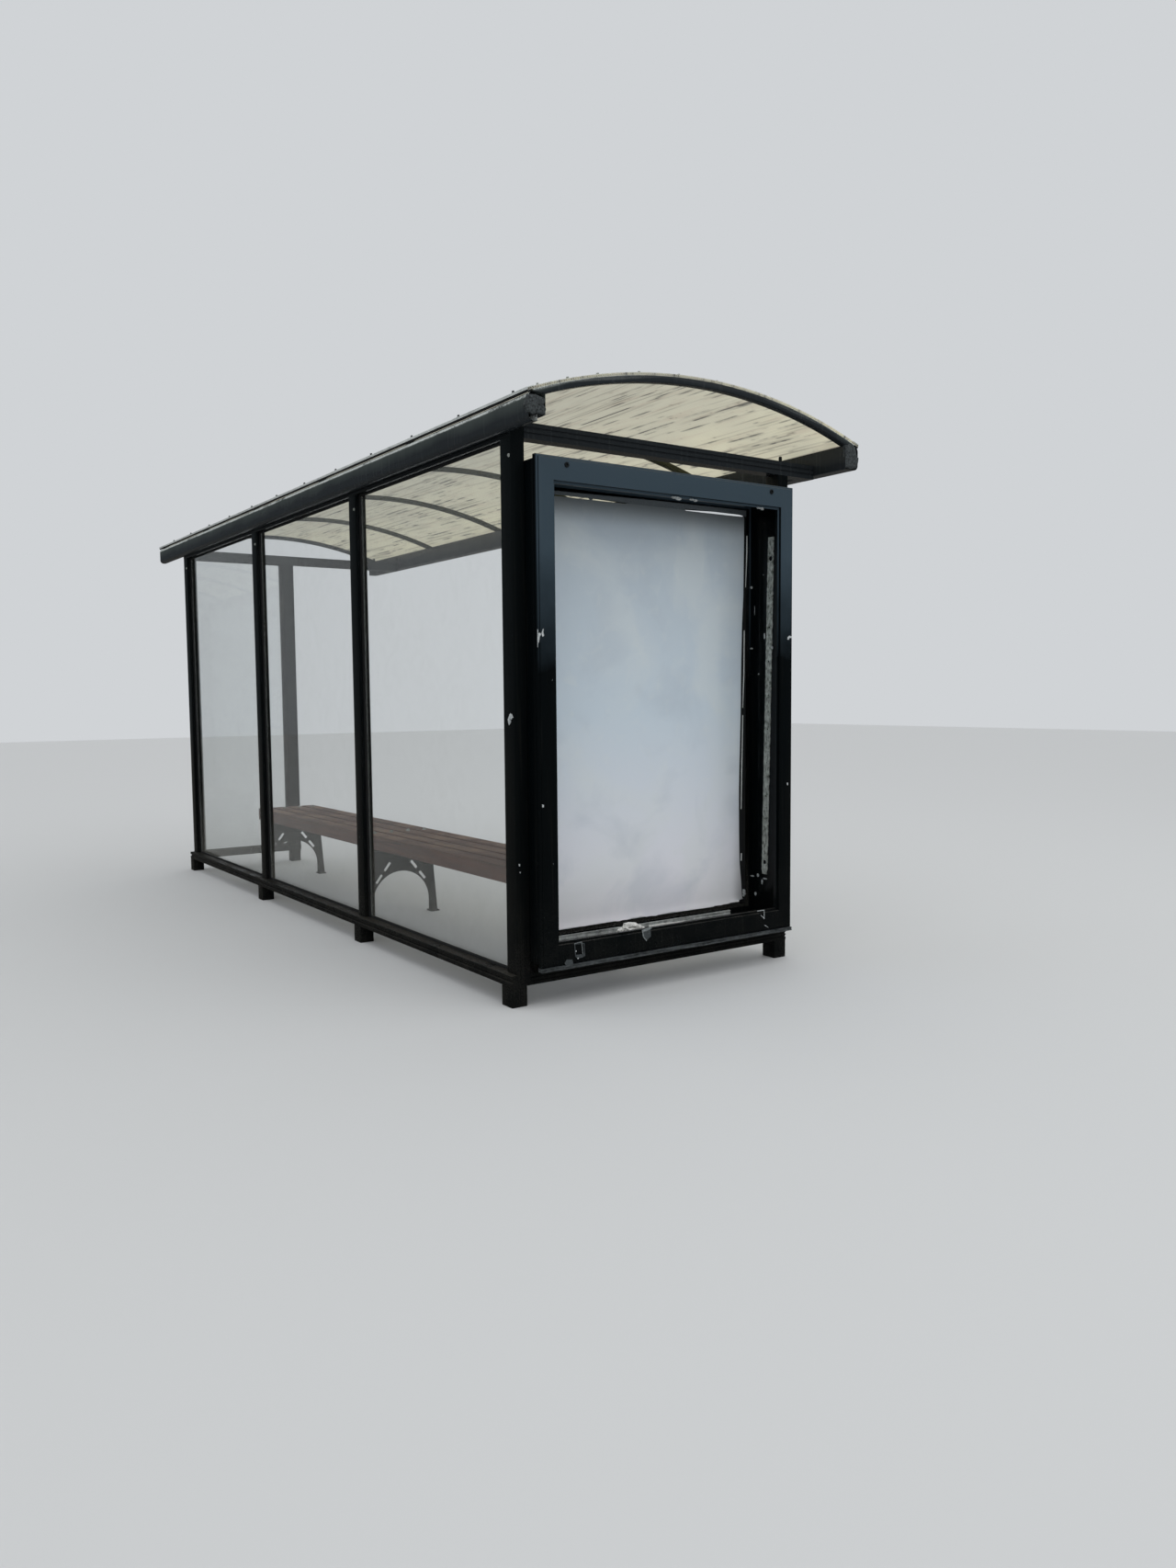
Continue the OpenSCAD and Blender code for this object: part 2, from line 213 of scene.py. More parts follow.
photoCamera = {
    "place": (-6.0309, 3.0313, 1.2068),
    "yaw": -0.606423, "pitch": -0.078707, "roll": -0.008525,
    "focalPixels": 1221.72, "imageHeight": 1706, "sensor": 36,
}


def makeCamera(look):
    yaw, pitch, roll = look["yaw"], look["pitch"], look["roll"]
    ahead = Vector((math.cos(yaw) * math.cos(pitch), math.sin(yaw) * math.cos(pitch), math.sin(pitch)))
    right = Vector((math.sin(yaw), -math.cos(yaw), 0))
    up = right.cross(ahead)
    right, up = (math.cos(roll) * right + math.sin(roll) * up, math.cos(roll) * up - math.sin(roll) * right)
    data = bpy.data.cameras.new("photoCamera")
    data.sensor_fit = "AUTO"
    data.sensor_width = look["sensor"]
    data.lens = look["focalPixels"] * look["sensor"] / look["imageHeight"]
    camera = bpy.data.objects.new("photoCamera", data)
    scene.collection.objects.link(camera)
    turn = Matrix((right, up, -ahead)).transposed().to_4x4()
    camera.matrix_world = Matrix.Translation(look["place"]) @ turn
    scene.camera = camera


studio = {
    "backdrop": "d0d3d6", "skyTop": "ffffff", "skySide": "e6eaee", "skyRise": 0.8, "skyStrength": 0.90,
    "glossLow": "4a4f52", "glossHigh": "e4e8ec", "glossRise": (0.30, 0.75),
    "floor": "d0d2d3", "floorInGloss": "5c5a55", "floorSize": 60,
    "lampStrength": 110, "lampSize": 6, "lampPlace": (-6.5, -1.0, 7.5), "lampTarget": (0, 0, 1),
}


def mirrorRay(add):
    # 1 for a reflected ray; a ray through glass counts as glossy too and is taken out
    ray = add("LightPath").outputs
    return add("Math", (ray["Is Glossy Ray"], ray["Is Transmission Ray"]),
               operation="SUBTRACT", use_clamp=True)


def makeStudio(look):
    scene.view_settings.view_transform = "Standard"
    world = bpy.data.worlds.new("paleStudio")
    scene.world = world
    world.use_nodes = True
    world.node_tree.nodes.clear()
    add = partial(addNode, world.node_tree)
    # soft sky for the light, plain backdrop where the camera or glass sees it
    ray = add("LightPath").outputs
    height = add("SeparateXYZ", (add("TexCoord").outputs["Generated"],)).outputs["Z"]
    rise = add("MapRange", (height, 0.0, look["skyRise"]))
    sky = add("Mix", (rise, look["skySide"], look["skyTop"]), data_type="RGBA")
    seen = add("Math", (ray["Is Camera Ray"], ray["Is Transmission Ray"]), operation="MAXIMUM")
    both = add("MixShader", (seen, add("Background", (sky, look["skyStrength"])),
                             add("Background", (look["backdrop"], 1.0))))
    # gloss mirrors something dark low down and a bright sky above it
    rise = add("MapRange", (height, *look["glossRise"]))
    mirrored = add("Mix", (rise, look["glossLow"], look["glossHigh"]), data_type="RGBA")
    mirrored = add("Background", (mirrored, 1.0))
    add("OutputWorld", (add("MixShader", (mirrorRay(add), both, mirrored)),))

    material, add = newMaterial("paleStudioFloor")[:2]
    color = add("Mix", (mirrorRay(add), look["floor"], look["floorInGloss"]), data_type="RGBA")
    dress(material, {"Base Color": color, "Roughness": 0.9, "Specular IOR Level": 0.1})
    mesh = bpy.data.meshes.new("studioFloor")
    half = look["floorSize"] / 2
    corners = [(-half, -half, 0), (half, -half, 0), (half, half, 0), (-half, half, 0)]
    mesh.from_pydata(corners, [], [(0, 1, 2, 3)])
    mesh.materials.append(material)
    floor = bpy.data.objects.new("studioFloor", mesh)
    scene.collection.objects.link(floor)

    lamp = bpy.data.lights.new("softLamp", "AREA")
    lamp.energy = look["lampStrength"]
    lamp.size = look["lampSize"]
    holder = bpy.data.objects.new("softLamp", lamp)
    scene.collection.objects.link(holder)
    holder.location = look["lampPlace"]
    holder.rotation_euler = (Vector(look["lampTarget"]) - holder.location).to_track_quat("-Z", "Y").to_euler()


makeCamera(photoCamera)
makeStudio(studio)
print("stage: camera, floor and light are set")

# In the materials, noise is given as place, scale, detail and roughness, and a range as value,
# from and to. A scale of 1000 / n repeats about every n mm.


def powderCoat(name, look):
    # polyester powder coat on steel: satin black with fine orange peel, settled dust,
    # rain runs and small chips through to pale primer; on the roof beams and the light box
    # the colour by height and facing also paints a highlight and a sky reflection
    material, add, place = newMaterial(name)
    here = add("SeparateXYZ", (place,)).outputs
    turned = add("SeparateXYZ", (add("NewGeometry").outputs["Normal"],)).outputs
    # lighter colour higher up, broken by broad clouds; on the roof beams this is the fall-off of a painted
    # highlight, on the light box a painted sky reflection
    cloud = add("MapRange", (add("TexNoise", (place, 3.5, 4.0)), 0.35, 0.65, -0.15, 0.15))
    chalkAndSheen = add("MapRange", (here["Z"], look["fadeFrom"], look["fadeTo"]), clamp=False)
    chalkAndSheen = add("Math", (chalkAndSheen, cloud), operation="ADD", use_clamp=True)
    # dust: thick on level faces and near the ground; on the roof beams the pale share on the rounded upper
    # edges is a painted highlight, partly dust
    levelAndSheen = add("MapRange", (turned["Z"], look["dustFrom"], look["dustTo"], 0.0, look["levelDustAndSheen"]))
    if look.get("frontOnly"):
        # the painted sky reflection, lighter higher up, only on what faces out of the near end
        chalkAndSheen = add("Math", (chalkAndSheen, add("MapRange", (turned["X"], -0.3, -0.8))), operation="MULTIPLY")
    if look.get("outward"):
        # the lighter colour, the dust and the painted highlight only on faces that look out of the roof's
        # long sides, not below it
        out = add("Math", (here["Y"], turned["Y"]), operation="MULTIPLY")
        out = add("MapRange", (out, 0.0, 0.2))
        chalkAndSheen = add("Math", (chalkAndSheen, out), operation="MULTIPLY")
        levelAndSheen = add("Math", (levelAndSheen, out), operation="MULTIPLY")
    color = add("Mix", (chalkAndSheen, look["coat"], look["chalkedAndSheen"]), data_type="RGBA")
    low = add("MapRange", (here["Z"], 0.0, 0.55, look["footDust"], 0.0))
    amount = add("Math", (levelAndSheen, low), operation="MAXIMUM")
    # in grains of about 6 mm and patches of about 110 mm
    patch = add("TexNoise", (place, 9.0, 5.0))
    spread = add("Math", (add("TexNoise", (place, 160.0, 3.0)), patch), operation="MULTIPLY")
    dust = add("Math", (amount, add("MapRange", (spread, 0.12, 0.38))), operation="MULTIPLY")
    # rain runs about 15 mm wide
    runs = add("TexNoise", (add("Mapping", {"Vector": place, "Scale": (65.0, 65.0, 2.2)}), 1.0, 3.0))
    runs = add("MapRange", (runs, 0.56, 0.78, 0.0, look["runs"]))
    dirtAndSheen = add("Math", (dust, runs), operation="ADD", use_clamp=True)
    color = add("Mix", (dirtAndSheen, color, look["dust"]), data_type="RGBA")
    # chips of 2 to 5 mm, only in some places
    cells = add("TexVoronoi", {"Vector": place, "Scale": 16.0, "Randomness": 1.0}).outputs["Distance"]
    size = add("MapRange", (patch, 0.54, 0.7, 0.0, look["chips"]))
    chip = add("Math", (cells, size), operation="LESS_THAN")
    color = add("Mix", (chip, color, look["primer"]), data_type="RGBA")
    rough = add("MapRange", (dirtAndSheen, 0.0, 0.5, look["roughness"], 0.85))
    # orange peel drawn at 3 mm, coarser than the real one so that it shows
    peel = add("Bump", {"Height": add("TexNoise", (place, 320.0, 2.0)), "Strength": 0.06, "Distance": 0.0006})
    return dress(material, {"Base Color": color, "Roughness": rough, "Normal": peel, "Metallic": 0.0,
                            "Specular IOR Level": look["gloss"]})


# posts, rails and bench legs: nearly black, with a little dust
frameCoat = powderCoat("satinBlackPowderCoat", {
    "coat": "0a0d0e", "chalkedAndSheen": "0e1213", "dust": "57534b", "primer": "8d9496", "gloss": 0.10,
    "roughness": 0.20, "fadeFrom": 0.4, "fadeTo": 2.4, "levelDustAndSheen": 0.40, "dustFrom": 0.3, "dustTo": 0.95,
    "footDust": 0.12, "runs": 0.05, "chips": 0.045})
# roof beams, ties and end arches: bleached, with a pale band over the beams' rounded upper edges that is a
# painted highlight, partly dust
beamCoat = powderCoat("dustyBlackPowderCoatPaintedHighlight", {
    "coat": "262a2d", "chalkedAndSheen": "4c5350", "dust": "c8cdca", "primer": "8d9496", "gloss": 0.16,
    "roughness": 0.24, "fadeFrom": 2.228, "fadeTo": 2.300, "levelDustAndSheen": 2.3, "dustFrom": 0.03, "dustTo": 0.22,
    "footDust": 0.1, "runs": 0.03, "chips": 0.03, "outward": True})
# light box: bluer and glossier, with a painted sky reflection, lighter higher up, on what faces out of the
# near end
caseCoat = powderCoat("glossierBlueBlackPowderCoat", {
    "coat": "05090b", "chalkedAndSheen": "3a4750", "dust": "605d56", "primer": "9da4a6", "gloss": 0.14,
    "roughness": 0.22, "fadeFrom": 1.30, "fadeTo": 1.86, "levelDustAndSheen": 0.45, "dustFrom": 0.3, "dustTo": 0.95,
    "footDust": 0.06, "runs": 0.03, "chips": 0.05, "frontOnly": True})
# roof ribs: dusty olive bloom below the sheet
ribCoat = powderCoat("dustyRibPowderCoat", {
    "coat": "363728", "chalkedAndSheen": "454633", "dust": "605d52", "primer": "8d9496", "gloss": 0.10,
    "roughness": 0.35, "fadeFrom": 2.2, "fadeTo": 2.5, "levelDustAndSheen": 0.4, "dustFrom": 0.3, "dustTo": 0.95,
    "footDust": 0.1, "runs": 0.08, "chips": 0.03})


def toughenedGlass(look):
    # 8 mm clear float glass: nearly colourless, with a thin uneven film of road dust
    material, add, place = newMaterial("clearToughenedGlass")
    tree = material.node_tree
    tree.nodes.remove(tree.nodes["Principled BSDF"])
    clear = add("BsdfGlass", {"Color": look["glass"], "Roughness": 0.0, "IOR": 1.45})
    shade = add("BsdfTransparent", {"Color": look["shade"]})
    pane = add("MixShader", (add("LightPath").outputs["Is Shadow Ray"], clear, shade))
    smear = add("TexNoise", {"Vector": place, "Scale": 9.0, "Detail": 6.0, "Distortion": 1.5})
    film = add("Math", (add("TexNoise", (place, 2.2, 6.0, 0.6)), smear), operation="MULTIPLY")
    film = add("MapRange", (film, 0.2, 0.42, 0.003, 0.022))
    splash = add("MapRange", (add("SeparateXYZ", (place,)).outputs["Z"], 0.12, 0.55, 0.05, 0.0))
    film = add("Math", (film, splash), operation="ADD")
    whole = add("MixShader", (film, pane, add("BsdfDiffuse", {"Color": look["film"]})))
    feed(tree, tree.nodes["Material Output"], {"Surface": whole})
    return material


wallGlass = toughenedGlass({"glass": "fbfcfc", "shade": "f8fafa", "film": "b9b7ae"})

# roof arc in the part's frame, from the boxes of the beam, the end arch and the sheet
sheetLow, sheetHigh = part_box("roof_sheet")
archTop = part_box("near_end_arch")[1].z
roofArc = {"rise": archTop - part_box("front_eaves_beam")[1].z, "half": sheetHigh.y,
           "y": (sheetLow.y + sheetHigh.y) / 2, "gap": 0.0003}
roofArc["radius"] = (roofArc["half"] ** 2 + roofArc["rise"] ** 2) / (2 * roofArc["rise"])
roofArc["z"] = archTop - roofArc["radius"]
roofArc["angle"] = math.asin(roofArc["half"] / roofArc["radius"])
twinWall = {
    "flutes": 164, "wallShare": 0.66, "fluteDepth": 0.012, "waviness": 0.003, "lengthSteps": 60,
    "heldEdge": 0.06, "freeEdge": 0.30,
    "clean": "e6e3d3", "yellow": "fdf8e0", "grime": "746a56", "stain": "d6c4b2", "soot": "2f281b",
    "cutEnd": "eceeeb", "through": 0.87, "throughPale": 0.30,
    # marks along the flutes: how close in flutes and in metres, noise values where one begins and is full
    "marks": {"line": (3.7, 1.1, 0.55, 0.64), "dash": (3.7, 3.0, 0.62, 0.68),
              "streak": (3.7, 1.4, 0.645, 0.68), "cloud": (0.35, 2.6, 0.5, 0.68),
              "patch": (1.3, 16.0, 0.60, 0.68)},
}


def twinWallSheet(look, arc):
    # extruded polycarbonate, yellowed: light comes through it, dirt sits in single flutes
    material, add, place = newMaterial("yellowedTwinWallPolycarbonate")
    axes = add("SeparateXYZ", (place,)).outputs
    across = add("Math", (axes["Y"], arc["y"]), operation="SUBTRACT")
    upward = add("Math", (axes["Z"], arc["z"]), operation="SUBTRACT")
    angle = add("Math", (across, upward), operation="ARCTAN2")
    count = add("Math", (angle, 2 * arc["angle"] / look["flutes"]), operation="DIVIDE")
    flute = add("Math", (count,), operation="FLOOR")
    # long lines, dashes and streaks in single flutes, soft wide clouds, patches
    masks = {}
    for label, (wide, long, low, high) in look["marks"].items():
        row = add("Math", (flute, wide), operation="MULTIPLY")
        run = add("Math", (axes["X"], long), operation="MULTIPLY")
        streak = add("TexNoise", (add("CombineXYZ", (run, row, long * 10)), 1.0, 3.0))
        masks[label] = add("MapRange", (streak, low, high))
    fine = add("MapRange", (add("TexNoise", (place, 28.0, 5.0)), 0.3, 0.6, 0.3))
    broken = add("Math", (masks["dash"], fine), operation="MULTIPLY")
    spots = add("Math", (masks["patch"], masks["cloud"]), operation="MULTIPLY")
    wall = add("Math", (add("Math", (count,), operation="FRACT"), 0.5), operation="SUBTRACT")
    wall = add("MapRange", (add("Math", (wall,), operation="ABSOLUTE"), 0.38, 0.5, 0.0, 0.2))
    # yellower towards the road side
    age = add("MapRange", (axes["Y"], 0.3, -0.8, 0.0, 1.7))
    age = add("Math", (age, add("TexNoise", (place, 2.2, 4.0))), operation="MULTIPLY", use_clamp=True)
    color = add("Mix", (age, look["clean"], look["yellow"]), data_type="RGBA")
    for mask, strength, tone in ((wall, 1.0, "grime"), (masks["cloud"], 0.32, "stain"),
                                 (masks["line"], 0.45, "grime"), (spots, 0.7, "grime"),
                                 (broken, 0.95, "soot"), (masks["streak"], 0.85, "soot")):
        share = add("Math", (mask, strength), operation="MULTIPLY")
        color = add("Mix", (share, color, look[tone]), data_type="RGBA")
    # the sawn ends have gone whitish
    turned = add("SeparateXYZ", (add("NewGeometry").outputs["Normal"],)).outputs["X"]
    turned = add("Math", (add("Math", (turned,), operation="ABSOLUTE"), 0.8), operation="GREATER_THAN")
    color = add("Mix", (turned, color, look["cutEnd"]), data_type="RGBA")
    # light crosses an upper and a lower skin, so each one takes only part of the colour
    pale = add("Mix", (look["throughPale"], color, "ffffff"), data_type="RGBA")
    letThrough(material, add, look["through"], pale)
    return dress(material, {"Base Color": color, "Roughness": 0.4, "Specular IOR Level": 0.35})


roofPlastic = twinWallSheet(twinWall, roofArc)


def plainMetal(name, look):
    # rolled or drawn metal: fine lines along one axis or grains, and blotchy oxide
    material, add, place = newMaterial(name)
    lines = add("TexNoise", (add("Mapping", {"Vector": place, "Scale": look["lines"]}), 1.0, 4.0))
    both = add("Math", (lines, add("TexNoise", (place, look["blotch"], 6.0, 0.7))), operation="ADD")
    mask = add("MapRange", (both, 0.8, 1.25))
    color = add("Mix", (mask, look["bright"], look["dull"]), data_type="RGBA")
    rough = add("MapRange", (mask, 0.0, 1.0, look["smooth"], look["smooth"] + 0.3))
    bump = add("Bump", {"Height": lines, "Strength": 0.1, "Distance": 0.0005})
    return dress(material, {"Metallic": look["metallic"], "Base Color": color, "Roughness": rough,
                            "Normal": bump})


# galvanised sheet: grey crystals about 12 mm, dull, a little bright where it is rubbed
zincSteel = plainMetal("galvanisedSteel", {"metallic": 0.3, "bright": "bcc0bc", "dull": "7b7f76",
                                           "lines": (20, 20, 20), "blotch": 80, "smooth": 0.4})
# bare aluminium strip, weathered grey, with fine die lines along its length
greyTrim = plainMetal("weatheredAluminium", {"metallic": 0.2, "bright": "e2e6e4", "dull": "a9aeac",
                                             "lines": (3, 400, 400), "blotch": 14, "smooth": 0.38})
# ledge in the light box: the same zinc, rolled, with dirt lines along it
ledgeZinc = plainMetal("rolledZincProfile", {"metallic": 0.2, "bright": "d6dad8", "dull": "4f5453",
                                             "lines": (500, 5, 260), "blotch": 30, "smooth": 0.4})
# black paint rubbed through along the sill's beads
wornSill = plainMetal("rubbedBlackSill", {"metallic": 0.2, "bright": "5b6062", "dull": "15191a",
                                          "lines": (60, 9, 60), "blotch": 40, "smooth": 0.3})
# punched strip: zinc gone white and brown in spots of 5 to 15 mm
stripZinc = plainMetal("spottedStripZinc", {"metallic": 0.2, "bright": "b9beb8", "dull": "50554d",
                                            "lines": (90, 90, 45), "blotch": 70, "smooth": 0.5})
# locks and small screws: blackened steel, nearly even
lockSteel = plainMetal("blackenedLockSteel", {"metallic": 0.6, "bright": "23282b", "dull": "121517",
                                              "lines": (60, 60, 60), "blotch": 120, "smooth": 0.35})


def agedClearPlastic(look):
    # soft clear lip gone cloudy: mostly see-through, with a patchy whitish haze in 17 mm runs
    material, add, place = newMaterial("cloudedClearLip")
    haze = add("TexNoise", (add("Mapping", {"Vector": place, "Scale": (60.0, 60.0, 5.0)}), 1.0, 5.0, 0.7))
    color = add("Mix", (haze, look["pale"], look["grey"]), data_type="RGBA")
    alpha = add("MapRange", (haze, 0.3, 0.7, *look["alpha"]))
    return dress(material, {"Base Color": color, "Alpha": alpha, "Roughness": 0.45,
                            "Specular IOR Level": 0.35})


cloudedProfile = agedClearPlastic({"pale": "c4c8c6", "grey": "8f948f", "alpha": (0.08, 0.28)})


def crumbly(name, deep, high, grain):
    # rough cast, torn or foamed surface: pits and grains of 1000 / grain mm
    material, add, place = newMaterial(name)
    pits = add("TexNoise", (place, grain, 6.0, 0.7))
    color = add("Mix", (add("MapRange", (pits, 0.38, 0.66)), deep, high), data_type="RGBA")
    bump = add("Bump", {"Height": pits, "Strength": 0.7, "Distance": 0.003})
    return dress(material, {"Base Color": color, "Roughness": 0.85, "Normal": bump})


roughCap = crumbly("weatheredEndCap", "1b1f20", "4a5052", 130)  # broken black plastic, greyed
mountingFoam = crumbly("paleMountingFoam", "d8d8d2", "fbfbf8", 90)  # nearly white, coarse bubbles
bareSpots = crumbly("scrapedPrimer", "80878a", "dde1e1", 300)  # pale grey where paint is gone
tapeGlue = crumbly("oldTapeGlue", "2b3032", "4d5355", 260)  # dark grey smears
greyTape = crumbly("greyedSealTape", "565e63", "6f777b", 220)  # even mid grey
tapeEdge = crumbly("fadedTapeEdge", "5c6164", "9aa09f", 240)  # paler frayed lines
paintedLightWhite = crumbly("paintedLightSlitWhite", "dce2e0", "fafffe", 60)  # white, soft blotches; it paints light seen through a slit and a highlight
sealRemains = crumbly("greyTornSeal", "6d7273", "c3c7c6", 260)  # light grey crumbs of rubber
blackPlastic = crumbly("blackGlazingPlastic", "0b0d0e", "141718", 220)  # moulded, fine grain
rubber = crumbly("blackRubberGasket", "101213", "1b1e1f", 500)  # dull black, finest grain

paper = {
    # the tones from top to foot are the paper's own hues with painted shade at the top and painted light at
    # the foot
    "top": "ced9e1", "middle": "dfeaf2", "foot": "fdfbff", "blotch": "c5cfd9", "pale": "eef3f2",
    # the dark tone under the top edge and the grey at the road side foot are painted shade
    "through": 0.30, "smoke": "4d504f", "topShadeDepth": 0.11, "topShadeOver": 0.02,
    "worn": "7d8080", "edgeShadeWide": 0.09, "edgeShadeHigh": 0.45,
    # damp clouds: scale, noise values where one begins and is full, strength, tone
    "clouds": ((2.1, 0.48, 0.62, 0.35, "pale"), (3.4, 0.52, 0.7, 0.3, "blotch"),
               (14.0, 0.55, 0.75, 0.22, "pale")),
    "behind": 0.0003, "thick": 0.0004, "columns": 90, "rows": 130, "slack": 0.0045, "hungFrom": 0.35,
    # waves in the hung sheet: how close in Y and in Z, share, seed
    "waves": ((2.2, 0.8, 1.0, 1.7), (6, 2.3, 0.4, 4.1)),
    "curl": 0.010, "curlWidth": 0.11, "curlWaves": 7, "footCurl": 0.009, "footCurlHigh": 0.035,
    "footLift": 0.020, "footLiftWide": 0.16,
    # rags of the cut edges: how close, size, seed, then how much of them shows above and below
    "rags": ((40, 0.0012, 6), (11, 0.0016, 9)), "topRags": 0.5, "footRags": 2.5,
    # top edge: Y and Z, lower at both ends where light comes in above it
    "topEdge": ((-0.1450, 2.0022), (-0.1320, 2.0080), (0.1650, 2.0080), (0.1780, 2.0026)),
    # road side edge of the sheet: Z and Y, it hangs askew and has shrunk
    "edge": ((0.25, -0.4720), (0.36, -0.4640), (0.43, -0.4565), (0.77, -0.4535), (1.02, -0.4555),
             (1.27, -0.4605), (1.51, -0.4690), (1.64, -0.4760), (2.02, -0.4785)),
}


def fadedPaper(look, low, high):
    # bare poster stock seen from its back: bleached, lilac-grey towards the foot, with damp clouds; it is
    # painted darker at the top and lighter at the foot, painted shade and painted light in the recess
    material, add, place = newMaterial("fadedPosterPaper")
    axes = add("SeparateXYZ", (place,)).outputs
    middle = (low.z + high.z) / 2
    # darker blue-grey at the top, near white at the foot: the paper's hues with painted shade and painted
    # light
    upperHueAndShade, lowerHueAndLight = (add("MapRange", (axes["Z"], middle, end)) for end in (high.z, low.z))
    color = add("Mix", (upperHueAndShade, look["middle"], look["top"]), data_type="RGBA")
    color = add("Mix", (lowerHueAndLight, color, look["foot"]), data_type="RGBA")
    for scale, begin, full, strength, tone in look["clouds"]:
        cloud = add("TexNoise", {"Vector": place, "Scale": scale, "Detail": 5.0, "Distortion": 0.6})
        cloud = add("MapRange", (cloud, begin, full, 0.0, strength))
        color = add("Mix", (cloud, color, look[tone]), data_type="RGBA")
    # painted shade under the top edge, where the light box's top shades it, and painted shade on the curled
    # road side edge near the foot
    top = add("MapRange", (axes["Z"], high.z - look["topShadeDepth"], high.z + look["topShadeOver"]),
              interpolation_type="SMOOTHSTEP")
    side = add("MapRange", (axes["Y"], low.y + look["edgeShadeWide"], low.y), interpolation_type="SMOOTHSTEP")
    foot = add("MapRange", (axes["Z"], low.z + look["edgeShadeHigh"], low.z))
    corner = add("Math", (side, foot), operation="MULTIPLY")
    for mask, strength, tone in ((top, 0.75, "smoke"), (corner, 0.8, "worn")):
        share = add("Math", (mask, strength), operation="MULTIPLY")
        color = add("Mix", (share, color, look[tone]), data_type="RGBA")
    # fibres drawn at 4 mm, coarser than real ones
    fibre = add("TexNoise", (place, 240.0, 3.0))
    fibre = add("Bump", {"Height": fibre, "Strength": 0.08, "Distance": 0.0004})
    letThrough(material, add, look["through"], color)
    return dress(material, {"Base Color": color, "Normal": fibre, "Roughness": 0.7,
                            "Specular IOR Level": 0.25})


posterLow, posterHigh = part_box("poster_sheet")
posterPaper = fadedPaper(paper, posterLow, posterHigh)


def stainedPine(look):
    # planed pine with reddish brown stain: grain in lines about 17 mm apart, worn paler on top
    material, add, place = newMaterial("reddishStainedPine")
    along = add("Mapping", {"Vector": place, "Scale": (2.5, 60.0, 60.0)})
    grain = add("TexNoise", {"Vector": along, "Scale": 1.0, "Detail": 8.0, "Roughness": 0.7,
                             "Distortion": 1.2})
    color = add("Mix", (add("MapRange", (grain, 0.35, 0.65)), look["stain"], look["grain"]), data_type="RGBA")
    top = add("SeparateXYZ", (add("NewGeometry").outputs["Normal"],)).outputs["Z"]
    worn = add("Math", (add("TexNoise", (place, 5.0, 5.0)), top), operation="MULTIPLY")
    color = add("Mix", (add("MapRange", (worn, 0.4, 0.65, 0.0, 0.7)), color, look["worn"]), data_type="RGBA")
    bump = add("Bump", {"Height": grain, "Strength": 0.35, "Distance": 0.001})
    return dress(material, {"Base Color": color, "Roughness": 0.6, "Normal": bump})


benchTimber = stainedPine({"stain": "6e4433", "grain": "3d2219", "worn": "94755c"})
print("materials: made")

tubes = {
    "corner": 0.004,
    "axes": {"rear_post_1": 2, "rear_post_2": 2, "rear_post_3": 2, "rear_post_4": 2, "near_front_post": 2,
             "far_side_post": 2, "feet": 2, "rear_bottom_rail": 0, "far_bottom_rail": 1, "rear_top_rail": 0},
}
for node, axis in tubes["axes"].items():
    softenNode(node, "Tube", tubes["corner"], frameCoat, "frame_paint", axis)

grooved = {
    # two shadow grooves on both sides, as on extruded profile
    "bars": {"near_tie_beam": 0.020, "far_tie_beam": 0.020, "near_bottom_rail": 0.015},
    "grooveWidth": 0.007, "grooveDepth": 0.005, "corner": 0.0012,
}
for node, spacing in grooved["bars"].items():
    low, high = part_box(node)
    middle = (low.z + high.z) / 2
    deep, half = grooved["grooveDepth"], grooved["grooveWidth"] / 2
    side = []
    for z in (middle - spacing / 2, middle + spacing / 2):
        side += [(0, z - half), (deep, z - half), (deep, z + half), (0, z + half)]
    outline = [(low.x, low.z), (high.x, low.z)] + [(high.x - a, z) for a, z in side]
    outline += [(high.x, high.z), (low.x, high.z)] + [(low.x + a, z) for a, z in reversed(side)]
    bm = bmesh.new()
    addBar(bm, outline, low.y, high.y, 1)
    softenEdges(bm, grooved["corner"], 1, segments=2)
    coat = frameCoat if node == "near_bottom_rail" else beamCoat
    finishPiece(pieceName(node, "Profile"), bm, coat, "frame_paint", node)

beamEnds = {
    # open tube ends towards the light box, each with the remains of its plug: outline in Y and Z
    "corner": 0.002, "wall": 0.003, "hollow": 0.050, "plugDepth": 0.014, "plugRough": 0.3,
    "rear_eaves_beam": [(0.8744, 2.2421), (0.8680, 2.2640), (0.8584, 2.2827), (0.8250, 2.2850),
                        (0.7885, 2.2765), (0.7847, 2.2673), (0.7928, 2.2500), (0.7811, 2.2387),
                        (0.7853, 2.2251), (0.7933, 2.2144), (0.8150, 2.2190), (0.8380, 2.2130),
                        (0.8610, 2.2180)],
    "front_eaves_beam": [(-0.7782, 2.2949), (-0.8073, 2.3063), (-0.8430, 2.2946), (-0.8492, 2.2713),
                         (-0.8554, 2.2561), (-0.8675, 2.2454), (-0.8620, 2.2168), (-0.8503, 2.1995),
                         (-0.8150, 2.1935), (-0.7797, 2.1990)],
}
# rings of an uneven lump from its foot to its middle: share of its outline, share of its height
crustRings = ((1.0, -0.1), (1.0, 0.55), (0.93, 0.85), (0.78, 1.0), (0.55, 1.0), (0.3, 1.0), (0.12, 1.0))


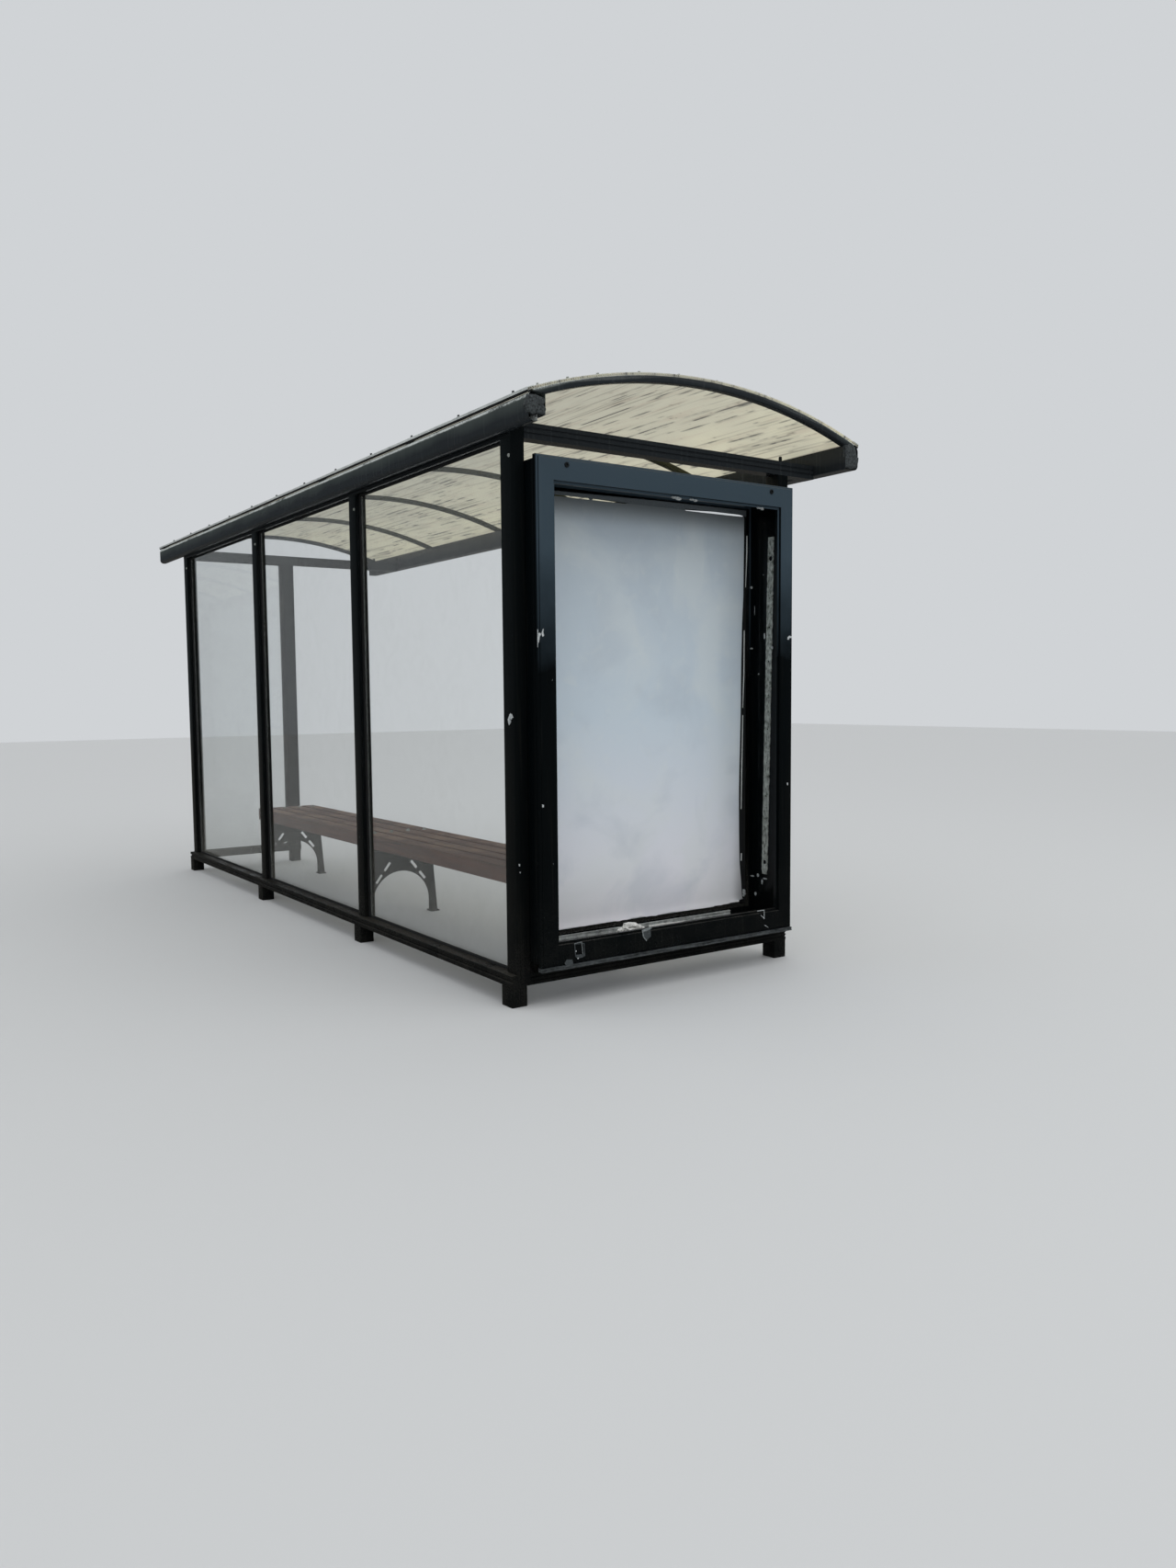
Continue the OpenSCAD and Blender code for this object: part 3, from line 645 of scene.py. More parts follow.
def addCrust(bm, outline, base, height, rough, seed, step=0.004, grain=80):
    # uneven lump over an outline in Y and Z, standing out from a face that looks towards -X
    even = []
    for first, second in zip(outline, outline[1:] + outline[:1]):
        a, b = Vector(first), Vector(second)
        count = max(1, round((b - a).length / step))
        even += [a.lerp(b, i / count) for i in range(count)]
    middle = sum(even, Vector((0, 0))) / len(even)
    rings = []
    for share, rise in crustRings:
        ring = []
        for p in even:
            at = middle + (p - middle) * share
            lump = noise.noise(Vector((at.x * grain, at.y * grain, seed)))
            ring.append((base - height * rise * (1 + rough * lump), at.x, at.y))
        rings.append(ring)
    made = addRings(bm, rings, closed=False)
    bmesh.ops.triangulate(bm, faces=[bm.faces.new(made[0]), bm.faces.new(made[-1])])


for seed, node in ((3, "rear_eaves_beam"), (14, "front_eaves_beam")):
    bm = cleanCopy(node)
    softenEdges(bm, beamEnds["corner"], 0, segments=2)
    end = min((f for f in bm.faces if f.normal.x < -0.9), key=lambda f: f.calc_center_median().x)
    start = end.calc_center_median().x
    bmesh.ops.inset_region(bm, faces=[end], thickness=beamEnds["wall"], use_even_offset=True)
    for v in end.verts:
        v.co.x += beamEnds["hollow"]
    finishPiece(pieceName(node, "Tube"), bm, beamCoat, "frame_paint", node)
    bm = bmesh.new()
    depth = beamEnds["plugDepth"]
    addCrust(bm, beamEnds[node], start + depth - beamEnds["wall"], depth, beamEnds["plugRough"], seed)
    finishPiece(pieceName(node, "EndPlug"), bm, roughCap, "frame_paint", smooth=60)

arches = {"corner": 0.003, "nodes": ("near_end_arch", "roof_rib_1", "roof_rib_2", "roof_rib_3", "roof_rib_4",
                                     "far_end_arch")}
for node in arches["nodes"]:
    softenNode(node, "Bar", arches["corner"], ribCoat if "rib" in node else beamCoat, "frame_paint")
print("frame: tubes, profiles, beams and arches")


def sheetTree(look, arc, low, high):
    # grid bent over the arc, thickened, then each flute opened at both ends
    tree, add, size = startTree("twinWallTree", {
        "Start": low.x, "End": high.x, "Radius": arc["radius"] + arc["gap"], "CentreY": arc["y"],
        "CentreZ": arc["z"], "HalfAngle": arc["angle"], "Thickness": look["thickness"],
        "Flutes": look["flutes"], "LengthSteps": look["lengthSteps"], "WallShare": look["wallShare"],
        "FluteDepth": look["fluteDepth"], "Waviness": look["waviness"], "ArchPitch": look["archPitch"],
        "HeldFrom": arc["half"] - look["heldEdge"], "FreeFrom": arc["half"] - look["freeEdge"]})
    rows = add("Math", (size["Flutes"], 1.0), operation="ADD")
    columns = add("Math", (size["LengthSteps"], 1.0), operation="ADD")
    grid = add("GeometryNodeMeshGrid", {"Size X": 1.0, "Size Y": 1.0, "Vertices X": columns,
                                        "Vertices Y": rows})
    flat = add("SeparateXYZ", (add("GeometryNodeInputPosition"),)).outputs
    along = add("MapRange", (flat["X"], -0.5, 0.5, size["Start"], size["End"]))
    angle = add("Math", (flat["Y"], 2.0), operation="MULTIPLY")
    angle = add("Math", (angle, size["HalfAngle"]), operation="MULTIPLY")
    y, z = (add("Math", (add("Math", (angle,), operation=turn), size["Radius"], size[centre]),
                operation="MULTIPLY_ADD") for turn, centre in (("SINE", "CentreY"), ("COSINE", "CentreZ")))
    skin = add("GeometryNodeSetPosition", {"Geometry": grid, "Position": add("CombineXYZ", (along, y, z))})
    raised = add("GeometryNodeExtrudeMesh", {"Mesh": skin, "Offset Scale": size["Thickness"],
                                             "Individual": False})
    under = add("GeometryNodeFlipFaces", {"Mesh": skin})
    slab = add("GeometryNodeJoinGeometry", {"Geometry": [raised, under]})
    slab = add("GeometryNodeMergeByDistance", {"Geometry": slab, "Distance": 0.00002})
    side = add("SeparateXYZ", (add("GeometryNodeInputNormal"),)).outputs["X"]
    ends = add("FunctionNodeCompare", (add("Math", (side,), operation="ABSOLUTE"), 0.9), data_type="FLOAT",
               operation="GREATER_THAN")
    rim = add("GeometryNodeExtrudeMesh", {"Mesh": slab, "Selection": ends, "Offset Scale": 0.0,
                                          "Individual": True})
    small = add("GeometryNodeScaleElements", {"Geometry": rim, "Selection": rim.outputs["Top"],
                                              "Scale": size["WallShare"]}, domain="FACE")
    inward = add("Math", (size["FluteDepth"], -1.0), operation="MULTIPLY")
    holes = add("GeometryNodeExtrudeMesh", {"Mesh": small, "Selection": rim.outputs["Top"],
                                            "Offset Scale": inward, "Individual": True})
    # the sheet lifts a little between its screws, but not near its held long edges
    where = add("GeometryNodeInputPosition")
    here = add("SeparateXYZ", (where,)).outputs
    held = add("Math", (here["Y"], size["CentreY"]), operation="SUBTRACT")
    held = add("MapRange", (add("Math", (held,), operation="ABSOLUTE"), size["HeldFrom"], size["FreeFrom"]))
    lift = add("MapRange", (add("TexNoise", (where, 3.0, 1.0)), 0.45, 0.7, 0.0, size["Waviness"]))
    bay = add("Math", (here["X"], size["ArchPitch"]), operation="DIVIDE")
    bay = add("Math", (add("Math", (bay, math.pi), operation="MULTIPLY"),), operation="COSINE")
    lift = add("Math", (lift, add("Math", (bay,), operation="ABSOLUTE")), operation="MULTIPLY")
    lift = add("Math", (lift, held), operation="MULTIPLY")
    waved = add("GeometryNodeSetPosition", {"Geometry": holes, "Offset": add("CombineXYZ", {"Z": lift})})
    return endTree(tree, add, waved, roofPlastic)


twinWall["thickness"] = sheetHigh.z - archTop - roofArc["gap"]
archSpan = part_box("far_end_arch")[0].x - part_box("near_end_arch")[0].x
twinWall["archPitch"] = archSpan / (len(arches["nodes"]) - 1)
mesh = growMesh(sheetTree(twinWall, roofArc, sheetLow, sheetHigh), {"Flutes": twinWall["flutes"]})
finishPiece("twinWallRoofSheet", mesh, None, "roof_polycarbonate", "roof_sheet", smooth=30)

# angle over each long edge of the sheet: a top leg under the screws, a side leg down past the sheet
edgeAngle = {"topLeg": 0.030, "sheet": 0.003, "sideLeg": 0.0092, "lip": 0.0010, "foot": 0.0021,
             "stand": 0.0012, "bend": 0.002}


def onArc(side, inset, drop):
    # a point the given way in from the sheet's edge and down from the angle's top
    turn = roofArc["angle"] - inset / roofArc["radius"]
    reach = roofArc["radius"] + roofArc["gap"] + twinWall["thickness"] + edgeAngle["sheet"] - drop
    return (roofArc["y"] + side * reach * math.sin(turn), roofArc["z"] + reach * math.cos(turn))


bm = bmesh.new()
leg, t, deep, lip, foot, stand, bend = edgeAngle.values()
for side in (-1, 1):
    outline = [onArc(side, *at) for at in (
        (leg, 0), (leg, t), (0, t), (0, deep), (-foot, deep), (-foot, deep - lip),
        (-stand, deep - 2 * lip), (-stand, bend), (0, 0))]
    addBar(bm, outline, sheetLow.x, sheetHigh.x, 0)
finishPiece("roofEdgeAngles", bm, greyTrim, "edge_trim", "roof_edge_strips", smooth=20)

# black rubber strip over the lower part of the sheet's edge and pressed on the beam's rounded shoulder, drawn
# tall enough that it paints the shadow gap under the angle
shadowStrip = {"wide": 0.020, "high": 0.0050, "thick": 0.0012, "taper": 0.45, "cover": 0.0012, "from": 0.0086,
        "clear": 0.0002, "wave": 0.0009, "waves": 6, "steps": 90}
bm = bmesh.new()
under = edgeAngle["sheet"] + twinWall["thickness"] + shadowStrip["clear"]
for side in (-1, 1):
    outline = [onArc(side, *at) for at in (
        (-shadowStrip["clear"], shadowStrip["from"]), (-shadowStrip["clear"], under), (shadowStrip["wide"], under),
        (shadowStrip["wide"], under + shadowStrip["thick"]), (shadowStrip["wide"] * shadowStrip["taper"], under + shadowStrip["high"]),
        (-shadowStrip["cover"], under + shadowStrip["high"]), (-shadowStrip["cover"], shadowStrip["from"]))]
    for ring in addBar(bm, outline, sheetLow.x, sheetHigh.x, 0, shadowStrip["steps"]):
        # its lower edge wavers
        sag = shadowStrip["wave"] * noise.noise(Vector((ring[0].co.x * shadowStrip["waves"], side * 3, 5)))
        for v in ring[4:6]:
            v.co.z += sag
finishPiece("roofEdgeShadowStrip", bm, rubber, "edge_trim", smooth=30)

screwLook = {
    "roof": {"Across": 0.0085, "HeadHeight": 0.0055, "WasherRadius": 0.0085,
             "WasherHeight": 0.0022, "Seed": 3},
    "button": {"Across": 0.008, "HeadHeight": 0.0035, "WasherRadius": 0.0075,
               "WasherHeight": 0.0012, "Seed": 7},
    "bolt": {"Across": 0.015, "HeadHeight": 0.009, "WasherRadius": 0.014,
             "WasherHeight": 0.0025, "Seed": 9},
    "stud": {"Across": 0.013, "HeadHeight": 0.024, "WasherRadius": 0.012,
             "WasherHeight": 0.003, "Seed": 12},
    # tops of washer and crown and the flat part of the head, as shares, and corners to flats
    "washerTop": 0.86, "crown": 0.86, "flat": 0.8, "cap": 0.2, "corner": 0.577,
    # places in Y over each arch, then the rows along the sheet's edges, then the other fixings
    "archPlaces": (0.803, 0.673, 0.538, 0.345, 0.149, -0.047, -0.258, -0.433, -0.634, -0.790),
    "archJitter": 0.015, "stripInset": 0.016, "stripStart": 0.12, "stripEnd": 0.05, "stripSpacing": 0.42,
    "stripRise": 0.0032, "postInset": 0.014, "postHeight": 2.107, "tiePlace": -0.600, "boltSunk": 0.001,
}


def screwTree(name, look, material):
    # a hexagon head on a round washer at each point, turned to the point's own direction
    tree, add, size = startTree(name, {"Across": 0.008, "HeadHeight": 0.005, "WasherRadius": 0.008,
                                       "WasherHeight": 0.002, "Seed": 0})
    inner = add("Math", (size["WasherRadius"], look["washerTop"]), operation="MULTIPLY")
    parts = [add("GeometryNodeMeshCone", {"Vertices": 16, "Radius Bottom": size["WasherRadius"],
                                          "Radius Top": inner, "Depth": size["WasherHeight"]})]
    radius = add("Math", (size["Across"], look["corner"]), operation="MULTIPLY")
    crown = add("Math", (radius, look["crown"]), operation="MULTIPLY")
    flat, cap = (add("Math", (size["HeadHeight"], look[share]), operation="MULTIPLY")
                 for share in ("flat", "cap"))
    onHead = add("Math", (size["WasherHeight"], flat), operation="ADD")
    for top, depth, rise in ((radius, flat, size["WasherHeight"]), (crown, cap, onHead)):
        cone = add("GeometryNodeMeshCone", {"Vertices": 6, "Radius Bottom": radius, "Radius Top": top,
                                            "Depth": depth})
        rise = add("CombineXYZ", {"Z": rise})
        parts.append(add("GeometryNodeTransform", {"Geometry": cone, "Translation": rise}))
    screw = add("GeometryNodeJoinGeometry", {"Geometry": parts})
    facing = add("GeometryNodeInputNamedAttribute", {"Name": "facing"}, data_type="FLOAT_VECTOR")
    upright = add("FunctionNodeAlignRotationToVector", {"Vector": facing}, axis="Z")
    spin = add("FunctionNodeRandomValue", {"Seed": size["Seed"]}, data_type="FLOAT")
    spin = add("CombineXYZ", {"Z": add("Math", (spin, math.tau), operation="MULTIPLY")})
    turned = add("FunctionNodeRotateRotation", (upright, add("FunctionNodeEulerToRotation", (spin,))),
                 rotation_space="LOCAL")
    put = add("GeometryNodeInstanceOnPoints", {"Points": size["Geometry"], "Instance": screw,
                                               "Rotation": turned})
    return endTree(tree, add, put, material)


darkScrews = screwTree("darkScrewTree", screwLook, lockSteel)
zincScrews = screwTree("zincScrewTree", screwLook, zincSteel)


def placeScrews(name, tree, look, points, slot="zinc_steel"):
    # points: (place, direction) pairs
    mesh = bpy.data.meshes.new(name + "Points")
    mesh.from_pydata([place for place, direction in points], [], [])
    facing = mesh.attributes.new("facing", "FLOAT_VECTOR", "POINT")
    for i, (place, direction) in enumerate(points):
        facing.data[i].vector = direction
    finishPiece(name, growMesh(tree, look, mesh), None, slot, smooth=25)


def onSheet(x, angle, rise=0.0):
    # a point over the sheet at this angle of the arc, and its direction
    up = Vector((0, math.sin(angle), math.cos(angle)))
    top = roofArc["radius"] + roofArc["gap"] + twinWall["thickness"] + rise
    return Vector((x, roofArc["y"], roofArc["z"])) + up * top, up


random.seed(31)
points = []
for node in arches["nodes"]:
    low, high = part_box(node)
    for y in screwLook["archPlaces"]:
        jitter = 0 if node == "near_end_arch" else random.uniform(-1, 1) * screwLook["archJitter"]
        points.append(onSheet((low.x + high.x) / 2, math.asin((y + jitter) / roofArc["radius"])))
placeScrews("roofSheetScrews", zincScrews, screwLook["roof"], points)

points = []
stripAngle = math.asin((roofArc["half"] - screwLook["stripInset"]) / roofArc["radius"])
x = sheetLow.x + screwLook["stripStart"]
while x < sheetHigh.x - screwLook["stripEnd"]:
    points += [onSheet(x, side * stripAngle, screwLook["stripRise"]) for side in (-1, 1)]
    x += screwLook["stripSpacing"]
placeScrews("edgeStripScrews", darkScrews, screwLook["roof"], points)
print("roof: sheet, strips and screws")

for node in ("rear_glass_1", "rear_glass_2", "rear_glass_3", "side_glass", "clear_pane"):
    for materialSlot in nodes[node].material_slots:
        materialSlot.material = wallGlass

glazing = {"wide": 0.018, "deep": 0.022, "wall": 0.0022, "lip": 0.0020, "clear": 0.0006, "bevel": 0.001,
           # clouded lips: reach over the glass, then their standing off it as outer and inner pairs
           "lipReach": 0.005, "lipRoot": (0.0016, 0.0004), "lipTip": (0.0006, 0.0002)}
posts = [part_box(f"rear_post_{i}") for i in range(1, 5)]
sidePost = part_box("far_side_post")
paneLow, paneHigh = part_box("rear_glass_1")
sideLow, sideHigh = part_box("side_glass")
glassHalf = (paneHigh.y - paneLow.y) / 2


def addGlazingBars(bm, outline):
    # upright at both edges of each pane; outline: distance from the post, distance from the glass's middle
    middle = (paneLow.y + paneHigh.y) / 2
    for left, right in zip(posts, posts[1:]):
        addBar(bm, [(left[1].x + a, middle + b) for a, b in outline], paneLow.z, paneHigh.z, 2)
        addBar(bm, [(right[0].x - a, middle + b) for a, b in outline], paneLow.z, paneHigh.z, 2)
    middle = (sideLow.x + sideHigh.x) / 2
    addBar(bm, [(middle + b, sidePost[1].y + a) for a, b in outline], sideLow.z, sideHigh.z, 2)
    addBar(bm, [(middle + b, posts[3][0].y - a) for a, b in outline], sideLow.z, sideHigh.z, 2)


def glazingOutline(look):
    # U profile in plan, from the post outwards: web, two flanges, lips that reach for the glass
    w, d, t, bevel = look["wide"], look["deep"] / 2, look["wall"], look["bevel"]
    grip, lip = glassHalf + look["clear"], look["wide"] - look["lip"]
    half = [(w - bevel, -d), (w, -d + bevel), (w, -grip), (lip, -grip), (lip, t - d), (t, t - d)]
    return [(0, -d)] + half + [(a, -b) for a, b in reversed(half)] + [(0, d)]


bm = bmesh.new()
addGlazingBars(bm, glazingOutline(glazing))
finishPiece("glazingProfiles", bm, blackPlastic, "glazing_profile", "glass_channels")

# thin clouded lips that run from the profiles out over the glass
bm = bmesh.new()
root, tip = glazing["wide"] - glazing["bevel"], glazing["wide"] + glazing["lipReach"]
for sign in (-1, 1):
    outline = ((root, glazing["lipRoot"][0]), (tip, glazing["lipTip"][0]), (tip, glazing["lipTip"][1]),
               (root, glazing["lipRoot"][1]))
    addGlazingBars(bm, [(a, sign * (glassHalf + b)) for a, b in outline])
finishPiece("glazingLips", bm, cloudedProfile, "glazing_profile")

gaskets = {"thick": 0.003, "high": 0.009, "bow": 0.0012, "shoulder": 0.5}


def addGaskets(bm, node, axis):
    # lip seals below and above on both faces: foot against the rail, nose pressed on the glass
    low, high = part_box(node)
    for side, face in ((1, high[1 - axis]), (-1, low[1 - axis])):
        for base, reach in ((low.z, gaskets["high"]), (high.z, -gaskets["high"])):
            thick, bow = face + side * gaskets["thick"], face + side * gaskets["bow"]
            outline = [(face, base), (thick, base), (thick, base + reach * gaskets["shoulder"]),
                       (bow, base + reach), (face, base + reach)]
            addBar(bm, outline, low[axis], high[axis], axis)


bm = bmesh.new()
for node, axis in (("rear_glass_1", 0), ("rear_glass_2", 0), ("rear_glass_3", 0), ("side_glass", 1)):
    addGaskets(bm, node, axis)
finishPiece("glazingGaskets", bm, rubber, "frame_paint")
print("glass: panes, channels and gaskets")

casePanels = {"corner": 0.0015, "nodes": ("case_rear_wall", "case_front_wall", "case_top", "case_bottom")}
for node in casePanels["nodes"]:
    softenNode(node, "Panel", casePanels["corner"], caseCoat, "light_box_paint", segments=2)

doorFrame = {
    # outline from the outer edge to the inner edge: distance from that edge, depth from the front
    "outer": [(0.0, 0.028), (0.0, 0.010), (0.002, 0.0065), (0.006, 0.005), (0.0085, 0.005), (0.0095, 0.0022),
              (0.0115, 0.0006), (0.014, 0.0)],
    "inner": [(0.013, 0.0), (0.010, 0.0008), (0.009, 0.003), (0.009, 0.012), (0.0, 0.0125), (0.0, 0.028)],
}
innerFrame = {
    "outer": [(0.0, 0.0), (0.0, 0.020), (0.002, 0.022)],
    "inner": [(0.006, 0.022), (0.002, 0.0205), (0.0, 0.017), (0.0, 0.0)],
    "sideWidth": 0.060, "endWidth": 0.075,
}


def mitredFrame(outer, inner, look, front):
    # rings of four corners, first from the outer edge, then from the inner one
    rings = []
    for (y0, y1, z0, z1), side, sign in ((outer, "outer", 1), (inner, "inner", -1)):
        for inset, depth in look[side]:
            x, a = front + depth, inset * sign
            rings.append([(x, y0 + a, z0 + a), (x, y1 - a, z0 + a), (x, y1 - a, z1 - a), (x, y0 + a, z1 - a)])
    bm = bmesh.new()
    addRings(bm, rings)
    return bm


doorSides = ("outer_frame_rear", "outer_frame_front", "outer_frame_top", "outer_frame_bottom")
(rearLow, rearHigh), (frontLow, frontHigh), top, foot = (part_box(node) for node in doorSides)
outer = (frontLow.y, rearHigh.y, frontLow.z, frontHigh.z)
inner = (frontHigh.y, rearLow.y, foot[1].z, top[0].z)
bm = mitredFrame(outer, inner, doorFrame, frontLow.x)
finishPiece("posterDoorFrame", bm, caseCoat, "light_box_paint", *doorSides, smooth=20)

low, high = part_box("inner_frame")
wide, tall = innerFrame["sideWidth"], innerFrame["endWidth"]
outer = (low.y, high.y, low.z, high.z)
inner = (low.y + wide, high.y - wide, low.z + tall, high.z - tall)
bm = mitredFrame(outer, inner, innerFrame, low.x)
finishPiece("posterInnerFrame", bm, caseCoat, "light_box_paint", "inner_frame", smooth=20)


def between(points, at):
    # value along a list of (place, value) pairs
    for (a, x), (b, y) in zip(points, points[1:]):
        if at <= b:
            return x + (y - x) * max(0.0, (at - a) / (b - a))
    return points[-1][1]


def posterMesh(look, low, high):
    # hangs with slack waves, its road side edge curled forward and its foot rolled up
    bm = bmesh.new()
    columns, rows = look["columns"], look["rows"]
    grids = []
    for lift in (look["thick"], 0):
        grid = []
        for j in range(rows + 1):
            line = []
            for i in range(columns + 1):
                y = low.y + (high.y - low.y) * i / columns
                z = low.z + (high.z - low.z) * j / rows
                held = min(1.0, (high.z - z) / look["hungFrom"])
                wave = sum(share * noise.noise(Vector((y * wide, z * tall, seed)))
                           for wide, tall, share, seed in look["waves"])
                out = look["slack"] * (0.5 + 0.5 * wave) * held
                edge = max(0.0, 1 - (y - low.y) / look["curlWidth"])
                out += look["curl"] * edge ** 2 * (0.75 + 0.25 * math.sin(z * look["curlWaves"]))
                out += look["footCurl"] * max(0.0, 1 - (z - low.z) / look["footCurlHigh"]) ** 2
                slip = (between(look["edge"], z) - low.y) * edge
                ragged = sum(deep * noise.noise(Vector((y * wide, 0, seed)))
                             for wide, deep, seed in look["rags"])
                z += (between(look["topEdge"], y) - high.z + ragged * look["topRags"]) * j / rows
                if j == 0:
                    lifted = max(0.0, 1 - (y - low.y) / look["footLiftWide"]) ** 2
                    z += ragged * look["footRags"] + look["footLift"] * lifted
                line.append(bm.verts.new((high.x - look["behind"] - out - lift, y + slip, z)))
            grid.append(line)
        grids.append(grid)
    for grid in grids:
        for j in range(rows):
            for i in range(columns):
                bm.faces.new((grid[j][i], grid[j][i + 1], grid[j + 1][i + 1], grid[j + 1][i]))
    rim = [(0, i) for i in range(columns)] + [(j, columns) for j in range(rows)]
    rim += [(rows, i) for i in range(columns, 0, -1)] + [(j, 0) for j in range(rows, 0, -1)]
    front, back = grids
    for (ja, ia), (jb, ib) in zip(rim, rim[1:] + rim[:1]):
        bm.faces.new((front[ja][ia], front[jb][ib], back[jb][ib], back[ja][ia]))
    return bm


finishPiece("hangingPoster", posterMesh(paper, posterLow, posterHigh), posterPaper, "poster_paper",
            "poster_sheet", smooth=60)

# greyed tape above the poster, which leaves thin slits of light, a black strip at its road side,
# and pale strips of painted light beside its road side edge and a painted highlight along the lower edge of
# the frame's opening: how far each stands out, and outlines in Y and Z
tapes = {
    "greyedSealTape": (greyTape, "light_box_paint", 0.0005, [
        [(0.690, 2.0200), (0.690, 2.0082), (0.368, 2.0082), (0.363, 2.0015), (0.351, 2.0015), (0.346, 2.0082),
         (0.178, 2.0075), (0.165, 2.0045), (-0.132, 2.0045), (-0.143, 2.0102), (-0.300, 2.0106),
         (-0.470, 2.0102), (-0.481, 2.0060), (-0.499, 2.0030), (-0.499, 2.0318), (-0.320, 2.0315),
         (0.015, 2.0300), (0.370, 2.0250), (0.530, 2.0227)]]),
    # a black strip between the poster's road side edge and the frame's opening
    "roadSideBlackStrip": (rubber, "light_box_paint", 0.0004, [
        [(-0.4985, 0.246), (-0.4985, 2.006), (-0.4870, 2.006), (-0.4835, 1.995), (-0.4760, 1.985),
         (-0.4740, 1.960), (-0.4700, 1.60), (-0.4560, 1.30), (-0.4480, 1.00), (-0.4460, 0.60),
         (-0.4500, 0.40), (-0.4620, 0.246)]]),
    # pale strips that paint the light seen through the gap beside the poster's road side edge and a highlight
    # along the lower edge of the frame's opening
    "paintedLightStrips": (paintedLightWhite, "poster_paper", 0.0012, [
        [(0.6900, 0.2430), (0.6900, 0.2465), (0.3890, 0.2487), (0.1970, 0.2500), (-0.0039, 0.2490),
         (-0.3074, 0.2480), (-0.3074, 0.2452), (-0.0039, 0.2462), (0.1970, 0.2472), (0.3890, 0.2460)],
        [(-0.5060, 1.9203), (-0.5015, 1.9203), (-0.5012, 1.8500), (-0.4945, 1.6896), (-0.4970, 1.6896),
         (-0.5060, 1.8500)],
        [(-0.4905, 1.4955), (-0.4865, 1.4955), (-0.4845, 1.3000), (-0.4790, 1.1450), (-0.4815, 1.1450),
         (-0.4888, 1.3000)],
        [(-0.4825, 1.1113), (-0.4790, 1.1113), (-0.4735, 0.9000), (-0.4705, 0.6805), (-0.4735, 0.6805),
         (-0.4778, 0.9000)],
        [(-0.4770, 0.4756), (-0.4715, 0.4756), (-0.4705, 0.4414), (-0.4755, 0.4414)]]),
}
tapeSunk = 0.0006
for name, (material, slot, out, outlines) in tapes.items():
    bm = bmesh.new()
    for outline in outlines:
        rings = [[(x, y, z) for y, z in outline] for x in (posterLow.x - out, posterLow.x + tapeSunk)]
        front, rear = addRings(bm, rings, closed=False)
        bmesh.ops.triangulate(bm, faces=[bm.faces.new(front), bm.faces.new(rear[::-1])])
    finishPiece(name, bm, material, slot)

# ledge: grooved zinc profile, its road side end torn off short, bent a little between its fixings
ledge = {"sheet": 0.0025, "lip": 0.011, "proud": 0.001, "proudHigh": 0.003, "end": -0.388, "steps": 60,
         # grooves in the front: height down from the top or up from the foot, depth in sheets
         "upperGroove": ((0.0045, 0), (0.006, 1), (0.0105, 1), (0.012, 0)),
         "lowerGroove": ((0.0095, 0), (0.008, 1), (0.004, 1)),
         "sag": 0.003, "sagWaves": 3.1, "bend": 0.0015, "bendWaves": 5, "torn": 0.012, "tornGrain": 60}
low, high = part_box("poster_ledge")
t, x, lip, proud = ledge["sheet"], low.x, low.x + ledge["lip"], low.x - ledge["proud"]
bm = bmesh.new()
outline = [(proud, low.z), (high.x, low.z), (high.x, low.z + t), (x + 2 * t, low.z + t),
           (x + 2 * t, high.z - t), (lip, high.z - t), (lip, high.z), (x, high.z)]
outline += [(x + t * depth, high.z - down) for down, depth in ledge["upperGroove"]]
outline += [(x + t * depth, low.z + up) for up, depth in ledge["lowerGroove"]]
outline.append((proud, low.z + ledge["proudHigh"]))
for ring in addBar(bm, outline, ledge["end"], high.y, 1, ledge["steps"]):
    y = ring[0].co.y
    dip = ledge["sag"] * (0.5 + 0.5 * noise.noise(Vector((y * ledge["sagWaves"], 0, 8))))
    for v in ring:
        v.co.z -= dip * (v.co.z - low.z) / (high.z - low.z)
        v.co.x += ledge["bend"] * noise.noise(Vector((y * ledge["bendWaves"], 3, 2)))
    if ring[0].co.y == ledge["end"]:
        for v in ring:
            v.co.y += ledge["torn"] * noise.noise(v.co * ledge["tornGrain"])
finishPiece("posterLedgeProfile", bm, ledgeZinc, "zinc_steel", "poster_ledge")

# drip sill under the door: two beads that catch the light
sill = {"low": 0.1445, "depth": 0.028, "bead": 0.0025, "fall": 0.001, "steps": 48, "dent": 0.0012,
        "dents": 9,
        # heights below the door frame where the upper bead and the lower one begin and end
        "beads": (0.0015, 0.0040, 0.0055, 0.0080, 0.0100, 0.0112)}
x, top = frontLow.x, frontLow.z
back, bead, fall = x + sill["depth"], x - sill["bead"], sill["fall"]
outline = [(back, top), (x + fall, top)]
outline += zip((bead, bead, x, x + fall, x, bead), (top - down for down in sill["beads"]))
outline += [(bead, sill["low"] + fall), (x, sill["low"]), (back, sill["low"] + fall)]
bm = bmesh.new()
for ring in addBar(bm, outline, frontLow.y, rearHigh.y, 1, sill["steps"]):
    for v in ring:
        if v.co.z < top - fall:
            v.co.z += sill["dent"] * noise.noise(Vector((v.co.y * sill["dents"], 1, 4)))
finishPiece("doorDripSill", bm, wornSill, "light_box_paint", smooth=30)

strip = {"Width": 0.037, "Thickness": 0.003, "Pitch": 0.152, "Holes": 10, "HoleRadius": 0.0085}
stripPlace = {"low": 0.385, "high": 1.902, "firstHole": 0.440, "lean": 0.0225, "cuts": 16, "ragged": 0.0022,
              "raggedWaves": (90, 70), "footNarrow": 0.82, "footHigh": 0.02,
              # how far each hole is still open, from the foot up
              "holeScale": (1.15, 0.45, 0.5, 0.4, 0.55, 0.4, 0.5, 0.55, 0.4, 1.3)}


